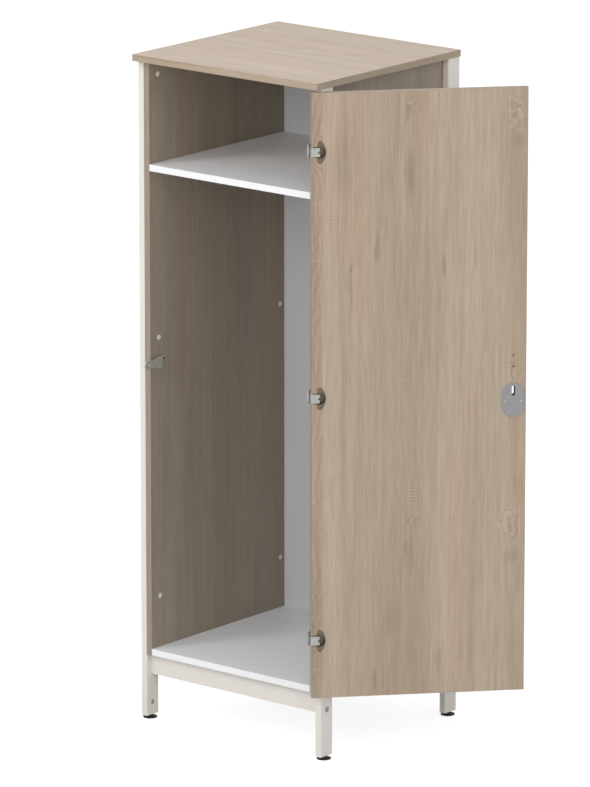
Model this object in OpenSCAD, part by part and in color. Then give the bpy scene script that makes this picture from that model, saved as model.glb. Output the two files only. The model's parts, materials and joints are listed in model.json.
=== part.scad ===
// Single door wardrobe: four tube posts carry board panels, with one lockable door
// on three pin hinges, a hat shelf, a hanging rail and levelling feet.
// X runs to the right, Y to the back and Z up. The origin is on the floor, midway
// between the four posts. The door is drawn closed and turned by door_open.

/* [Frame] */
// Width over the posts
frame_w = 650; // [560:10:800]
// Depth over the posts
frame_d = 600; // [520:10:640]
// Height from the floor to the top surface
frame_h = 1900; // [1800:10:2100]
// Height from the floor to the underside of the panels
base_h = 190; // [170:5:240]
// Width of a post, seen from the front
post_w = 20; // [18:1:30]
// Depth of a post, seen from the side
post_d = 50; // [46:1:64]
// Wall of the post tubes
post_wall = 2; // [1.5:0.1:2.5]
// Radius on the upright edges of the posts
post_edge_r = 2; // [1:0.5:3]
// Height of the link hole in a post's inner face above the post's end
link_hole_up = 36; // [32:1:60]
// Diameter of the link hole
link_hole_d = 14; // [8:1:18]

/* [Panels] */
// Thickness of the side, top, bottom, back and shelf boards
board_t = 19; // [18:1:22]
// Overhang of the top board in front of the posts
top_over_front = 22; // [22:1:30]
// Overhang of the top board past the posts on each side
top_over_side = 2; // [0:1:6]
// Overhang of the top board behind the posts
top_over_back = 2; // [0:1:6]
// Clear height above the shelf
hat_space_h = 287.5; // [240:2.5:320]

/* [Stretchers] */
// Height of the front and rear stretchers
rail_h = 60; // [50:1:80]
// Thickness of the stretchers
rail_t = 15; // [14:1:20]
// Wall of the stretchers
rail_wall = 1.5; // [1:0.1:2]
// Distance of a stretcher's middle from the outer face of the posts
rail_set = 26; // [22:1:28]
// Height of the stretcher bolts above a stretcher's underside
rail_bolt_up = 12.5; // [10:0.5:18]
// Height of the stretcher's locating pin above its bolt
rail_pin_up = 32; // [20:1:34]
// Diameter of the stretcher bolts
rail_bolt_d = 8; // [6:1:8]
// Diameter of the access hole in a post's outer face
access_d = 16; // [14:0.5:18]
// Length of the plugs in the ends of the stretchers
rail_plug_l = 34; // [28:1:50]

/* [Feet] */
// Height of a foot under its post
foot_h = 10; // [9:1:14]
// Diameter of a foot's disc
foot_d = 40; // [34:1:44]
// Thickness of a foot's rim
foot_rim_h = 3; // [2:0.5:4]
// Diameter of a foot's threaded stem
foot_stem_d = 8; // [6:1:10]
// Length of the stem above the foot
foot_stem_l = 28; // [26:1:30]
// Height of the plug that holds the stem in the post
foot_plug_h = 20; // [16:1:22]

/* [Door] */
// Thickness of the door
door_t = 19; // [18:1:22]
// Gap between the side panels' front edges and the door
door_gap = 3; // [3:0.5:4]
// Width of each side panel's front edge that the door covers
door_overlay = 9; // [7:0.5:10]
// Gap between the top board and the door
door_top_gap = 4.5; // [3:0.5:8]
// Drop of the door's lower edge below the side panels
door_drop = 2; // [0:0.5:6]
// Angle by which the door stands open
door_open = 228; // [0:1:231]

/* [Hinges] */
// Distance of the pin from the door's hinge edge, sideways
pin_side = 6; // [6:0.5:7]
// Distance of the pin in front of the door's outer face
pin_front = 4; // [4:0.5:5]
// Height of the lowest hinge above the panels' lower ends
hinge_low_up = 161; // [140:1:200]
// Drop of the highest hinge below the top board
hinge_top_down = 167; // [140:1:200]
// Diameter of the hinge pins
pin_d = 5; // [4:0.5:5]
// Diameter of the hinge knuckles
knuckle_d = 8; // [8:0.5:8.5]
// Thickness of the fixed hinge leaf
leaf_t = 1.4; // [1:0.1:1.6]
// Height of the fixed hinge leaf
leaf_h = 50; // [50:1:64]
// Depth of the fixed hinge leaf on the side panel
leaf_d = 52; // [50:1:60]
// Distance of the panel fittings from the panel's front or rear edge
system_line = 37; // [36:1:40]
// Pitch of the fixed leaf's screws
leaf_pitch = 32; // [30:1:34]
// Height of the swinging arm of a hinge
arm_h = 24.4; // [20:0.4:25]
// Thickness of the arm's plate
arm_t = 1.6; // [1:0.1:1.6]
// Reach of the arm's plate from the door's hinge edge
arm_reach = 21.7; // [20:0.1:24]
// Thickness of the bend that the arm makes round the door's edge
arm_wrap_t = 1.8; // [1.8:0.1:2]
// Gap between the door's edge and that bend
arm_edge_gap = 0.6; // [0.3:0.1:0.8]
// Height of each fixed knuckle
fixed_knuckle_h = 4.4; // [4:0.2:10]
// Gap between the fixed and swinging knuckles
knuckle_gap = 0.8; // [0.4:0.1:1]
// Diameter of the hinge cup
cup_d = 35; // [34:0.5:36]
// Depth of the hinge cup in the door
cup_deep = 12; // [11:0.5:13]
// Distance of the cup's middle from the door's hinge edge
cup_in = 21.5; // [21:0.5:23]
// Distance of the flange's straight side from the door's hinge edge
flange_in = 15.2; // [14:0.1:16]
// Thickness of the cup's flange
flange_t = 1; // [0.8:0.1:1]
// Height of the flange's neck under the arm
neck_h = 30; // [28:0.5:32]
// Distance of the neck's end from the door's hinge edge
neck_in = 3; // [1:0.5:5]
// Pitch of the two cup screws
cup_screw_pitch = 48; // [47:0.5:49]

/* [Lock] */
// Height of the lock plates' middle above the floor
lock_h = 1010; // [950:5:1080]
// Distance of the lock and handle line from the door's free edge
lock_in = 35.5; // [34:0.5:40]
// Width of a lock plate
lock_plate_w = 62; // [54:1:64]
// Height of a lock plate
lock_plate_h = 96; // [90:1:110]
// Thickness of a lock plate
lock_plate_t = 2; // [1:0.1:2]
// Width of the slot for the hasp
slot_w = 9; // [8.5:0.5:12]
// Height of the slot for the hasp
slot_h = 26; // [26:1:30]
// Height of the slot's middle above the lock plates' middle
slot_up = 26; // [24:1:30]
// Distance of the plate screws from the lock line
lock_screw_out = 22; // [18:0.5:24]
// Drop of the plate screws below the lock plates' middle
lock_screw_down = 2.5; // [0:0.5:6]
// Thickness of the hasp's metal
hasp_t = 3; // [2:0.5:3]
// Height of the hasp's tongue
hasp_nose_h = 23.3; // [20:0.1:24]
// Height of the hasp's body behind the door
hasp_body_h = 33; // [26:1:40]
// Height of the hasp's screw tab
hasp_tab_h = 17; // [14:1:20]
// Distance of the hasp's screw from the panel's front edge
hasp_screw_in = 55; // [54:1:64]
// Reach of the hasp's tongue beyond the door's outer face
hasp_reach = 31.5; // [28:0.5:36]
// Diameter of the padlock hole
eye_d = 8.5; // [6:0.5:9]
// Distance of the padlock hole's middle from the tongue's tip
eye_in = 16; // [12:0.5:17]

/* [Handle] */
// Height of the handle's lower screw above the lock plates' middle
pull_up = 93.5; // [80:0.5:120]
// Pitch of the handle's screws
pull_pitch = 32; // [32:1:96]
// Diameter of the handle's rod
pull_d = 10; // [8:0.5:12]
// Distance of the rod's middle from the door's outer face
pull_out = 23; // [20:1:32]

/* [Hanging rail] */
// Diameter of the hanging rail
hang_d = 25; // [22:1:30]
// Wall of the hanging rail
hang_wall = 1.5; // [1:0.1:2]
// Drop of the rail's middle below the shelf
hang_drop = 64.5; // [55:0.5:80]
// Diameter of the flange of a rail socket
socket_d = 46; // [44:1:52]
// Thickness of a rail socket's flange
socket_flange_t = 3; // [2:0.5:4]
// Depth of a rail socket
socket_deep = 14; // [10:1:20]

/* [Fasteners] */
// Height of the lowest panel screws above the panels' lower ends
screw_low_up = 166; // [150:1:200]
// Drop of the highest panel screws below the top board
screw_top_down = 40; // [36:1:80]
// Extra drop of the lowest screw beside the bottom hinge
hinge_screw_shift = 66; // [60:1:90]
// Diameter of the panel screws
panel_screw_d = 6; // [5:0.5:6]
// Diameter of the panel screws' heads
panel_head_d = 12; // [10:0.5:12]
// Depth of the pockets that hold the heads
panel_pocket = 8; // [7:0.5:9]
// Diameter of the screw caps
cap_d = 14.6; // [14:0.2:18]
// Thickness of the screw caps' rims
cap_t = 1; // [0.6:0.1:1.2]
// Distance of the shelf's and bottom board's cams from the front or rear of the frame
board_cam_set = 150; // [120:10:180]
// Distance of the top board's front cams from the front of the frame
top_cam_front = 250; // [240:5:260]
// Distance of the top board's rear cams from the rear of the frame
top_cam_back = 100; // [90:5:120]
// Distance of the shelf's and bottom board's dowels from the front or rear of the frame
board_dowel_set = 100; // [90:5:110]
// Distance of the top board's front dowels from the front of the frame
top_dowel_front = 100; // [90:5:120]
// Distance of the top board's rear dowels from the rear of the frame
top_dowel_back = 200; // [190:5:215]
// Height of the back panel's lowest dowels above the panels' lower ends
back_dowel_up = 280; // [200:10:400]
// Drop of the back panel's highest dowels below the top board
back_dowel_down = 135; // [100:5:200]
// Distance of the outer back screws from the side panels
back_screw_set = 86; // [60:1:120]
// Side of the square nuts in the posts
nut_side = 10; // [9:0.5:12]
// Thickness of the square nuts
nut_t = 6; // [4:0.5:8]
// Diameter of the dowels
dowel_d = 8; // [6:1:10]
// Length of a dowel in the board that it runs along
dowel_long = 20; // [15:1:25]
// Length of a dowel in the board that it stands in
dowel_short = 10; // [8:1:12]
// Diameter of the cam fittings
cam_d = 15; // [12:1:16]
// Depth of the cam fittings
cam_deep = 12.5; // [12:0.5:13.5]
// Distance of the cams from the board's end
cam_in = 24; // [20:1:34]
// Diameter of the small wood screws
wood_screw_d = 3.8; // [3:0.1:4]
// Diameter of the small wood screws' heads
wood_head_d = 7.6; // [6.4:0.2:7.8]

/* [Hidden] */
$fn = 48;

// Clearance round a pin, a dowel or a screw in its hole
fit = 0.05;
// Length by which a cutting shape runs past a face
past = 1;
// Clearance between pieces that move past each other
run_gap = 0.3;

post_x = frame_w / 2;
post_y = frame_d / 2;
panel_out = post_x - post_w;
panel_in = panel_out - board_t;
top_z = frame_h - board_t;
back_y = post_y - board_t;
shelf_z = top_z - hat_space_h - board_t;
rail_z = base_h - rail_h;
rail_y = post_y - rail_set;
rail_bolt_z = rail_z + rail_bolt_up;
rail_pin_z = rail_bolt_z + rail_pin_up;
hang_z = shelf_z - hang_drop;
sides = [-1, 1];

// Door, in its closed place
door_edge = panel_in + door_overlay;
door_in_y = -post_y - door_gap;
door_out_y = door_in_y - door_t;
door_z0 = base_h - door_drop;
door_z1 = top_z - door_top_gap;
lock_x = lock_in - door_edge;
slot_z = lock_h + slot_up;
plate_screw_z = lock_h - lock_screw_down;
pull_z = lock_h + pull_up;

// Hinges
pin_x = door_edge + pin_side;
pin_y = door_out_y - pin_front;
hinge_low_z = base_h + hinge_low_up;
hinge_top_z = top_z - hinge_top_down;
hinge_mid_z = (hinge_low_z + hinge_top_z) / 2;
hinge_zs = [hinge_top_z, hinge_mid_z, hinge_low_z];
knuckle_r = knuckle_d / 2;
fixed_z0 = arm_h / 2 + knuckle_gap;
fixed_z1 = fixed_z0 + fixed_knuckle_h;
arm_face = flange_t + arm_t;
pin_head_r = 3.8;
pin_head_t = 1;
arm_notch_w = 6;
arm_notch_l = 4;
arm_screw_in = 14;
arm_screw_d = 3;
arm_head_d = 6;
bridge_w = 10;
bridge_l = 7;
cup_wall = 1.2;
cup_screw_in = 22.5;
cup_screw_up = cup_screw_pitch / 2;
// Distance by which the flange's rounded side stays inside the cup's far edge
flange_short = 0.4;
flange_far = cup_in + cup_d / 2 - flange_short;
// Corners round the cup screws, and the large arc that touches both of them from outside
flange_corner_r = cup_screw_in - flange_in;
flange_bulge = flange_far - cup_screw_in;
flange_swell = 2 * (flange_bulge - flange_corner_r);
flange_r = (cup_screw_up ^ 2 + flange_bulge ^ 2 - flange_corner_r ^ 2) / flange_swell;
flange_centre = flange_far - flange_r;
flange_touch = flange_r / (flange_r - flange_corner_r);
flange_touch_in = flange_centre + (cup_screw_in - flange_centre) * flange_touch;
flange_touch_up = cup_screw_up * flange_touch;
// Length of the leaf's lugs behind the panel's front edge
lug_root = 4;

// Panel screws
screw_y = post_y - system_line;
screw_low_z = base_h + screw_low_up;
screw_top_z = top_z - screw_top_down;
screw_mid_z = (screw_low_z + screw_top_z) / 2;
screw_head_t = 4;
cap_plug_l = 2.6;
nut_x = panel_out + post_wall;
wood_screw_l = 14;
wood_head_t = 1.2;
plate_screw_d = 3.2;
plate_head_d = 5.2;
plate_screw_l = 8;
plate_head_t = 0.6;

// Cam fittings
cam_bolt_r = 3;
cam_head_r = 3.4;
cam_bore_r = 4;
cam_thread_r = 2.5;
cam_thread_l = 11;
cam_key_w = 1.4;
cam_key_deep = 1.6;
board_cam_ys = [board_cam_set - post_y, post_y - board_cam_set];
top_cam_ys = [top_cam_front - post_y, post_y - top_cam_back];
board_dowel_ys = [board_dowel_set - post_y, post_y - board_dowel_set];
top_dowel_ys = [top_dowel_front - post_y, post_y - top_dowel_back];
back_dowel_low_z = base_h + back_dowel_up;
back_dowel_top_z = top_z - back_dowel_down;
back_dowel_zs = [back_dowel_low_z, (back_dowel_low_z + back_dowel_top_z) / 2, back_dowel_top_z];

// Rail sockets: wall round the rail, and width of the flange outside its screws
socket_wall = 2;
socket_rim = 0.6;

// Back screws
back_screw_xs = [back_screw_set - panel_in, 0, panel_in - back_screw_set];
back_screw_r = 2.4;
back_screw_l = 45;
back_head_r = 4.5;
back_head_t = 3;
back_key_d = 4.5;

// Posts and feet
plug_slack = 0.1;
// Length by which a stretcher bolt ends before its plug does
bolt_short = 4;
stretcher_head_d = 13;
stretcher_head_l = 8;
stretcher_key_d = 6;
rail_pin_d = 6;
top_pin_d = 8;
top_pin_l = 12;
foot_hub_d = 26;
foot_neck_d = 16;
foot_x = post_x - post_w / 2;
foot_y = post_y - post_d / 2;

// Slot and handle screws
slot_corner_r = 2;
handle_screw_r = 2;
handle_head_r = 2.4;
handle_head_t = 2;
handle_head_deep = 8;
handle_thread_l = 9;

// Hasp, in its place on the left panel
hasp_bend = 45;
// Flat length between the screw tab's outline and the first bend
hasp_flat = 2;
hasp_corner_r = 5;
hasp_tip_y = door_out_y - hasp_reach;
hasp_tab_end_y = hasp_tab_h / 2 + hasp_screw_in - post_y;
hasp_bend_y = hasp_screw_in - post_y - hasp_tab_h / 2 - hasp_flat;
hasp_run = lock_x - hasp_t / 2 + panel_in;
hasp_turn_y = hasp_bend_y - hasp_run / tan(hasp_bend);
hasp_body_y = lock_plate_t - post_y;

board_white = [0.93, 0.93, 0.92];
oak = [0.72, 0.65, 0.56];
frame_white = [0.86, 0.85, 0.83];
zinc = [0.70, 0.70, 0.68];
bronze = [0.38, 0.33, 0.28];
near_black = [0.09, 0.09, 0.09];

function screw_zs(side, end) =
    [screw_top_z, screw_mid_z, screw_low_z - (side > 0 && end < 0 ? hinge_screw_shift : 0)];

// Shapes between two corners, and round bars along X, Y and Z
module block(lo, hi) {
    translate(lo) cube(hi - lo);
}

module bar_x(r, x0, x1, y, z) {
    translate([x0, y, z]) rotate([0, 90, 0]) cylinder(r = r, h = x1 - x0);
}

module bar_y(r, y0, y1, x, z) {
    translate([x, y0, z]) rotate([-90, 0, 0]) cylinder(r = r, h = y1 - y0);
}

module bar_z(r, z0, z1, x, y) {
    translate([x, y, z0]) cylinder(r = r, h = z1 - z0);
}

// Places a rear right shape at one of the four corners
module corner(side, end) {
    mirror([side < 0 ? 1 : 0, 0, 0]) mirror([0, end < 0 ? 1 : 0, 0]) children();
}

module each_side() {
    for (side = sides) mirror([side < 0 ? 1 : 0, 0, 0]) children();
}

// Turns a shape drawn on the closed door about the hinge pins
module on_door() {
    translate([pin_x, pin_y, 0]) rotate([0, 0, door_open]) translate([-pin_x, -pin_y, 0]) children();
}

// Bar with rounded upright edges between two corners
module rounded_block(lo, hi, r) {
    block([lo[0] + r, lo[1], lo[2]], [hi[0] - r, hi[1], hi[2]]);
    block([lo[0], lo[1] + r, lo[2]], [hi[0], hi[1] - r, hi[2]]);
    for (x = [lo[0] + r, hi[0] - r], y = [lo[1] + r, hi[1] - r]) bar_z(r, lo[2], hi[2], x, y);
}

// Posts

module post(side, end) {
    color(frame_white) corner(side, end) difference() {
        rounded_block([panel_out, post_y - post_d, foot_h], [post_x, post_y, top_z], post_edge_r);
        block(
            [panel_out + post_wall, post_y - post_d + post_wall, foot_h - past],
            [post_x - post_wall, post_y - post_wall, top_z + past]
        );
        bar_x(access_d / 2, post_x - post_wall - past, post_x + past, rail_y, rail_bolt_z);
        bar_x(rail_bolt_d / 2 + fit, panel_out - past, nut_x + past, rail_y, rail_bolt_z);
        bar_x(rail_pin_d / 2 + fit, panel_out - past, nut_x + past, rail_y, rail_pin_z);
        bar_x(link_hole_d / 2, panel_out - past, nut_x + past, foot_y, foot_h + link_hole_up);
        for (z = screw_zs(side, end))
            bar_x(panel_screw_d / 2 + fit, panel_out - past, nut_x + past, screw_y, z);
    }
}

// Block that fills a post's hollow between two heights
module post_filler(z0, z1) {
    block(
        [panel_out + post_wall + plug_slack, post_y - post_d + post_wall + plug_slack, z0],
        [post_x - post_wall - plug_slack, post_y - post_wall - plug_slack, z1]
    );
}

module post_top_plugs() {
    color(near_black) for (side = sides, end = sides) corner(side, end) {
        post_filler(top_z - foot_plug_h, top_z);
        bar_z(top_pin_d / 2, top_z, top_z + top_pin_l, foot_x, foot_y);
    }
}

module foot_plugs() {
    color(near_black) for (side = sides, end = sides) corner(side, end) difference() {
        post_filler(foot_h, foot_h + foot_plug_h);
        bar_z(foot_stem_d / 2 + fit, foot_h - past, foot_h + foot_plug_h + past, foot_x, foot_y);
    }
}

module foot(side, end) {
    color(near_black) corner(side, end) {
        bar_z(foot_d / 2, 0, foot_rim_h, foot_x, foot_y);
        translate([foot_x, foot_y, foot_rim_h])
            cylinder(d1 = foot_hub_d, d2 = foot_neck_d, h = foot_h - run_gap - foot_rim_h);
        bar_z(foot_stem_d / 2, foot_rim_h, foot_h + foot_stem_l, foot_x, foot_y);
    }
}

// Stretchers

module stretcher(end) {
    color(frame_white) corner(1, end) difference() {
        block([-panel_out, rail_y - rail_t / 2, rail_z], [panel_out, rail_y + rail_t / 2, base_h]);
        block(
            [-panel_out - past, rail_y - rail_t / 2 + rail_wall, rail_z + rail_wall],
            [panel_out + past, rail_y + rail_t / 2 - rail_wall, base_h - rail_wall]
        );
    }
}

module stretcher_plugs() {
    plug_set = rail_wall + plug_slack;
    plug_half = rail_t / 2 - plug_set;
    color(near_black) for (side = sides, end = sides) corner(side, end) difference() {
        union() {
            block(
                [panel_out - rail_plug_l, rail_y - plug_half, rail_z + plug_set],
                [panel_out, rail_y + plug_half, base_h - plug_set]
            );
            bar_x(rail_pin_d / 2, panel_out, nut_x, rail_y, rail_pin_z);
        }
        bar_x(rail_bolt_d / 2 + fit, panel_out - rail_plug_l - past, panel_out + past, rail_y, rail_bolt_z);
    }
}

module stretcher_bolts() {
    color(zinc) for (side = sides, end = sides) corner(side, end) difference() {
        union() {
            bar_x(rail_bolt_d / 2, panel_out - rail_plug_l + bolt_short, nut_x, rail_y, rail_bolt_z);
            bar_x(stretcher_head_d / 2, nut_x, nut_x + stretcher_head_l, rail_y, rail_bolt_z);
        }
        translate([nut_x + stretcher_head_l / 2, rail_y, rail_bolt_z]) rotate([0, 90, 0])
            cylinder(d = stretcher_key_d, h = stretcher_head_l, $fn = 6);
    }
}

// Cam fittings, drawn with the bolt along X and the cam's face downwards

module cam_places_boards() {
    for (z = [base_h, shelf_z], y = board_cam_ys) each_side()
        translate([panel_in - cam_in, y, z + board_t / 2]) children();
}

module cam_places_top() {
    for (y = top_cam_ys) each_side()
        translate([panel_in + board_t / 2, y, top_z - cam_in])
            rotate([0, -90, 0]) rotate([180, 0, 0]) children();
}

module cam_housing() {
    key_long = cam_d / 3;
    key_half = cam_key_w / 2;
    key_z0 = -board_t / 2 - past;
    key_z1 = cam_key_deep - board_t / 2;
    difference() {
        bar_z(cam_d / 2 - fit, -board_t / 2, cam_deep - board_t / 2, 0, 0);
        bar_x(cam_bore_r, -cam_head_r, cam_d, 0, 0);
        block([-key_long, -key_half, key_z0], [key_long, key_half, key_z1]);
        block([-key_half, -key_long, key_z0], [key_half, key_long, key_z1]);
    }
}

module cam_bolt() {
    bar_x(cam_head_r, -cam_head_r + fit, cam_bolt_r, 0, 0);
    bar_x(cam_bolt_r, cam_bolt_r, cam_in, 0, 0);
    bar_x(cam_thread_r, cam_in, cam_in + cam_thread_l, 0, 0);
}

module cam_cut() {
    bar_z(cam_d / 2, -board_t / 2 - past, cam_deep + fit - board_t / 2, 0, 0);
    bar_x(cam_bore_r, -cam_head_r, cam_in + past, 0, 0);
}

module cam_thread_cut() {
    bar_x(cam_thread_r + fit, cam_in - past, cam_in + cam_thread_l + fit, 0, 0);
}

module cam_bolts() {
    color(zinc) {
        cam_places_boards() cam_bolt();
        cam_places_top() cam_bolt();
    }
}

module cam_housings() {
    color(zinc) {
        cam_places_boards() cam_housing();
        cam_places_top() cam_housing();
    }
}

// Dowels, drawn along X with the joint between the two boards at X = 0

module dowel_places_boards() {
    for (z = [base_h, shelf_z], y = board_dowel_ys) each_side()
        translate([panel_in, y, z + board_t / 2]) children();
}

module dowel_places_back() {
    for (z = back_dowel_zs) each_side() translate([panel_in, back_y + board_t / 2, z]) children();
}

module dowel_places_top() {
    for (y = top_dowel_ys) each_side()
        translate([panel_in + board_t / 2, y, top_z]) rotate([0, -90, 0]) children();
}

module dowel(slack) {
    bar_x(dowel_d / 2 + slack, -dowel_long - slack, dowel_short + slack, 0, 0);
}

module all_dowels(slack) {
    dowel_places_boards() dowel(slack);
    dowel_places_back() dowel(slack);
    dowel_places_top() dowel(slack);
}

module dowels() {
    color(oak) all_dowels(0);
}

// Panel screws, with their nuts in the posts and their caps

module panel_screw_places() {
    for (side = sides, end = sides) corner(side, end)
        for (z = screw_zs(side, end)) translate([panel_in, screw_y, z]) children();
}

module panel_screw_cut(side) {
    for (end = sides) corner(side, end) for (z = screw_zs(side, end)) {
        bar_x(panel_head_d / 2 + 2 * fit, panel_in - past, panel_in + panel_pocket, screw_y, z);
        bar_x(panel_screw_d / 2 + fit, panel_in, panel_out + past, screw_y, z);
    }
}

module panel_screws() {
    color(zinc) panel_screw_places() {
        bar_x(panel_head_d / 2, panel_pocket - screw_head_t, panel_pocket, 0, 0);
        bar_x(panel_screw_d / 2, panel_pocket, board_t + post_wall + nut_t, 0, 0);
    }
}

module panel_nuts() {
    color(zinc) panel_screw_places() difference() {
        block(
            [board_t + post_wall, -nut_side / 2, -nut_side / 2],
            [board_t + post_wall + nut_t, nut_side / 2, nut_side / 2]
        );
        bar_x(panel_screw_d / 2 + fit, board_t, board_t + post_wall + nut_t + past, 0, 0);
    }
}

module screw_caps() {
    color(board_white) panel_screw_places() {
        bar_x(cap_d / 2, -cap_t, 0, 0, 0);
        bar_x(panel_head_d / 2, 0, cap_plug_l, 0, 0);
    }
}

// Small wood screw in an inner panel face, with its head towards -X

module wood_screw(head_x) {
    bar_x(wood_head_d / 2, -head_x - wood_head_t, -head_x, 0, 0);
    bar_x(wood_screw_d / 2, -head_x, wood_screw_l, 0, 0);
}

module wood_screw_cut() {
    bar_x(wood_screw_d / 2 + fit, -past, wood_screw_l + fit, 0, 0);
}

module leaf_screw_places() {
    for (z = hinge_zs, k = sides) translate([panel_in, -screw_y, z + k * leaf_pitch / 2]) children();
}

module socket_screw_places() {
    for (k = sides) translate([panel_in, k * ((socket_d - wood_head_d) / 2 - socket_rim), hang_z]) children();
}

module hasp_screw_place() {
    translate([-panel_in, hasp_screw_in - post_y, slot_z]) mirror([1, 0, 0]) children();
}

// Boards

module side_panel(side) {
    color(oak) difference() {
        mirror([side < 0 ? 1 : 0, 0, 0]) difference() {
            block([panel_in, -post_y, base_h], [panel_out, post_y, top_z]);
            cam_places_top() cam_cut();
            cam_places_boards() cam_thread_cut();
            all_dowels(fit);
            socket_screw_places() wood_screw_cut();
        }
        panel_screw_cut(side);
        if (side > 0) leaf_screw_places() wood_screw_cut();
        if (side < 0) hasp_screw_place() wood_screw_cut();
    }
}

module top_panel() {
    color(oak) difference() {
        block(
            [-post_x - top_over_side, -post_y - top_over_front, top_z],
            [post_x + top_over_side, post_y + top_over_back, frame_h]
        );
        cam_places_top() cam_thread_cut();
        dowel_places_top() dowel(fit);
        for (side = sides, end = sides) corner(side, end)
            bar_z(top_pin_d / 2 + fit, top_z - past, top_z + top_pin_l + fit, foot_x, foot_y);
    }
}

// Level board between the side panels, with its underside at z
module level_board(z) {
    color(board_white) difference() {
        block([-panel_in, -post_y, z], [panel_in, back_y, z + board_t]);
        cam_places_boards() cam_cut();
        dowel_places_boards() dowel(fit);
        back_screw_cut();
    }
}

module bottom_board() {
    level_board(base_h);
}

module shelf() {
    level_board(shelf_z);
}

module back_panel() {
    color(board_white) difference() {
        block([-panel_in, back_y, base_h], [panel_in, post_y, top_z]);
        dowel_places_back() dowel(fit);
        back_screw_cut();
    }
}

module back_screw_places() {
    for (z = [base_h, shelf_z], x = back_screw_xs) translate([x, post_y, z + board_t / 2]) children();
}

module back_screw_cut() {
    back_screw_places() {
        bar_y(back_head_r + fit, -back_head_t, past, 0, 0);
        bar_y(back_screw_r + fit, -back_screw_l - fit, 0, 0, 0);
    }
}

module back_screws() {
    color(zinc) back_screw_places() difference() {
        union() {
            bar_y(back_head_r, -back_head_t, 0, 0, 0);
            bar_y(back_screw_r, -back_screw_l, -back_head_t, 0, 0);
        }
        translate([0, -back_head_t / 2, 0]) rotate([-90, 0, 0])
            cylinder(d = back_key_d, h = back_head_t, $fn = 6);
    }
}

// Hanging rail

module hanging_rail() {
    color(zinc) difference() {
        bar_x(hang_d / 2, socket_flange_t - panel_in, panel_in - socket_flange_t, 0, hang_z);
        bar_x(hang_d / 2 - hang_wall, -panel_in, panel_in, 0, hang_z);
    }
}

module rail_socket(side) {
    color(zinc) mirror([side < 0 ? 1 : 0, 0, 0]) difference() {
        union() {
            bar_x(socket_d / 2, panel_in - socket_flange_t, panel_in, 0, hang_z);
            bar_x(hang_d / 2 + socket_wall, panel_in - socket_deep, panel_in, 0, hang_z);
        }
        bar_x(hang_d / 2 + 2 * fit, panel_in - socket_deep - past, panel_in - socket_flange_t, 0, hang_z);
        socket_screw_places() bar_x(wood_screw_d / 2 + fit, -socket_flange_t - past, past, 0, 0);
    }
}

module rail_socket_screws() {
    color(zinc) each_side() socket_screw_places() wood_screw(socket_flange_t);
}

// Fixed hinge leaf: a plate on the right panel's inner face, and two lugs that bend
// round the panel's front edge and reach forward to the knuckles

module hinge_leaf(z) {
    lug_out = pin_x - knuckle_r + leaf_t;
    plate_x = panel_in - leaf_t;
    root_y = lug_root - post_y;
    color(bronze) difference() {
        union() {
            block([plate_x, root_y, z - leaf_h / 2], [panel_in, leaf_d - post_y, z + leaf_h / 2]);
            for (k = sides) translate([0, 0, z]) mirror([0, 0, k < 0 ? 1 : 0]) {
                block([plate_x, -post_y - leaf_t, fixed_z0], [panel_in, root_y, fixed_z1]);
                block([plate_x, -post_y - leaf_t, fixed_z0], [lug_out, -post_y, fixed_z1]);
                block([pin_x - knuckle_r, pin_y, fixed_z0], [lug_out, -post_y, fixed_z1]);
                bar_z(knuckle_r, fixed_z0, fixed_z1, pin_x, pin_y);
            }
        }
        bar_z(pin_d / 2 + fit, z - leaf_h, z + leaf_h, pin_x, pin_y);
        leaf_screw_places() bar_x(wood_screw_d / 2 + fit, -leaf_t - past, past, 0, 0);
    }
}

module hinge_leaf_screws() {
    color(zinc) leaf_screw_places() wood_screw(leaf_t);
}

module hinge_pins() {
    color(zinc) for (z = hinge_zs) {
        bar_z(pin_d / 2, z - fixed_z1, z + fixed_z1, pin_x, pin_y);
        bar_z(pin_head_r, z + fixed_z1, z + fixed_z1 + pin_head_t, pin_x, pin_y);
        bar_z(pin_head_r, z - fixed_z1 - pin_head_t, z - fixed_z1, pin_x, pin_y);
    }
}

// Swinging side of a hinge, drawn on the closed door: in is the distance from the
// door's hinge edge and up the height above the door's inner face

module door_block(in0, in1, up0, up1, z0, z1) {
    block([door_edge - in1, door_in_y + up0, z0], [door_edge - in0, door_in_y + up1, z1]);
}

module door_bar(r, in, up0, up1, z) {
    bar_y(r, door_in_y + up0, door_in_y + up1, door_edge - in, z);
}

module cup_screw_places(z) {
    for (k = sides) translate([0, 0, z + k * cup_screw_up]) children();
}

// Flat plate of the cup, from the straight side at flange_in to the large arc, with the
// neck that runs on under the arm
module cup_flange(z) {
    intersection() {
        door_bar(flange_r, flange_centre, 0, flange_t, z);
        door_block(flange_touch_in, flange_far + past, 0, flange_t, z - flange_r, z + flange_r);
    }
    cup_screw_places(z) door_bar(flange_corner_r, cup_screw_in, 0, flange_t, 0);
    translate([door_edge, door_in_y + flange_t, z]) rotate([90, 0, 0]) linear_extrude(flange_t) polygon([
        [-flange_in, -cup_screw_up],
        [-cup_screw_in, -cup_screw_up],
        [-flange_touch_in, -flange_touch_up],
        [-flange_touch_in, flange_touch_up],
        [-cup_screw_in, cup_screw_up],
        [-flange_in, cup_screw_up]
    ]);
    door_block(neck_in, cup_in, 0, flange_t, z - neck_h / 2, z + neck_h / 2);
}

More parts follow.
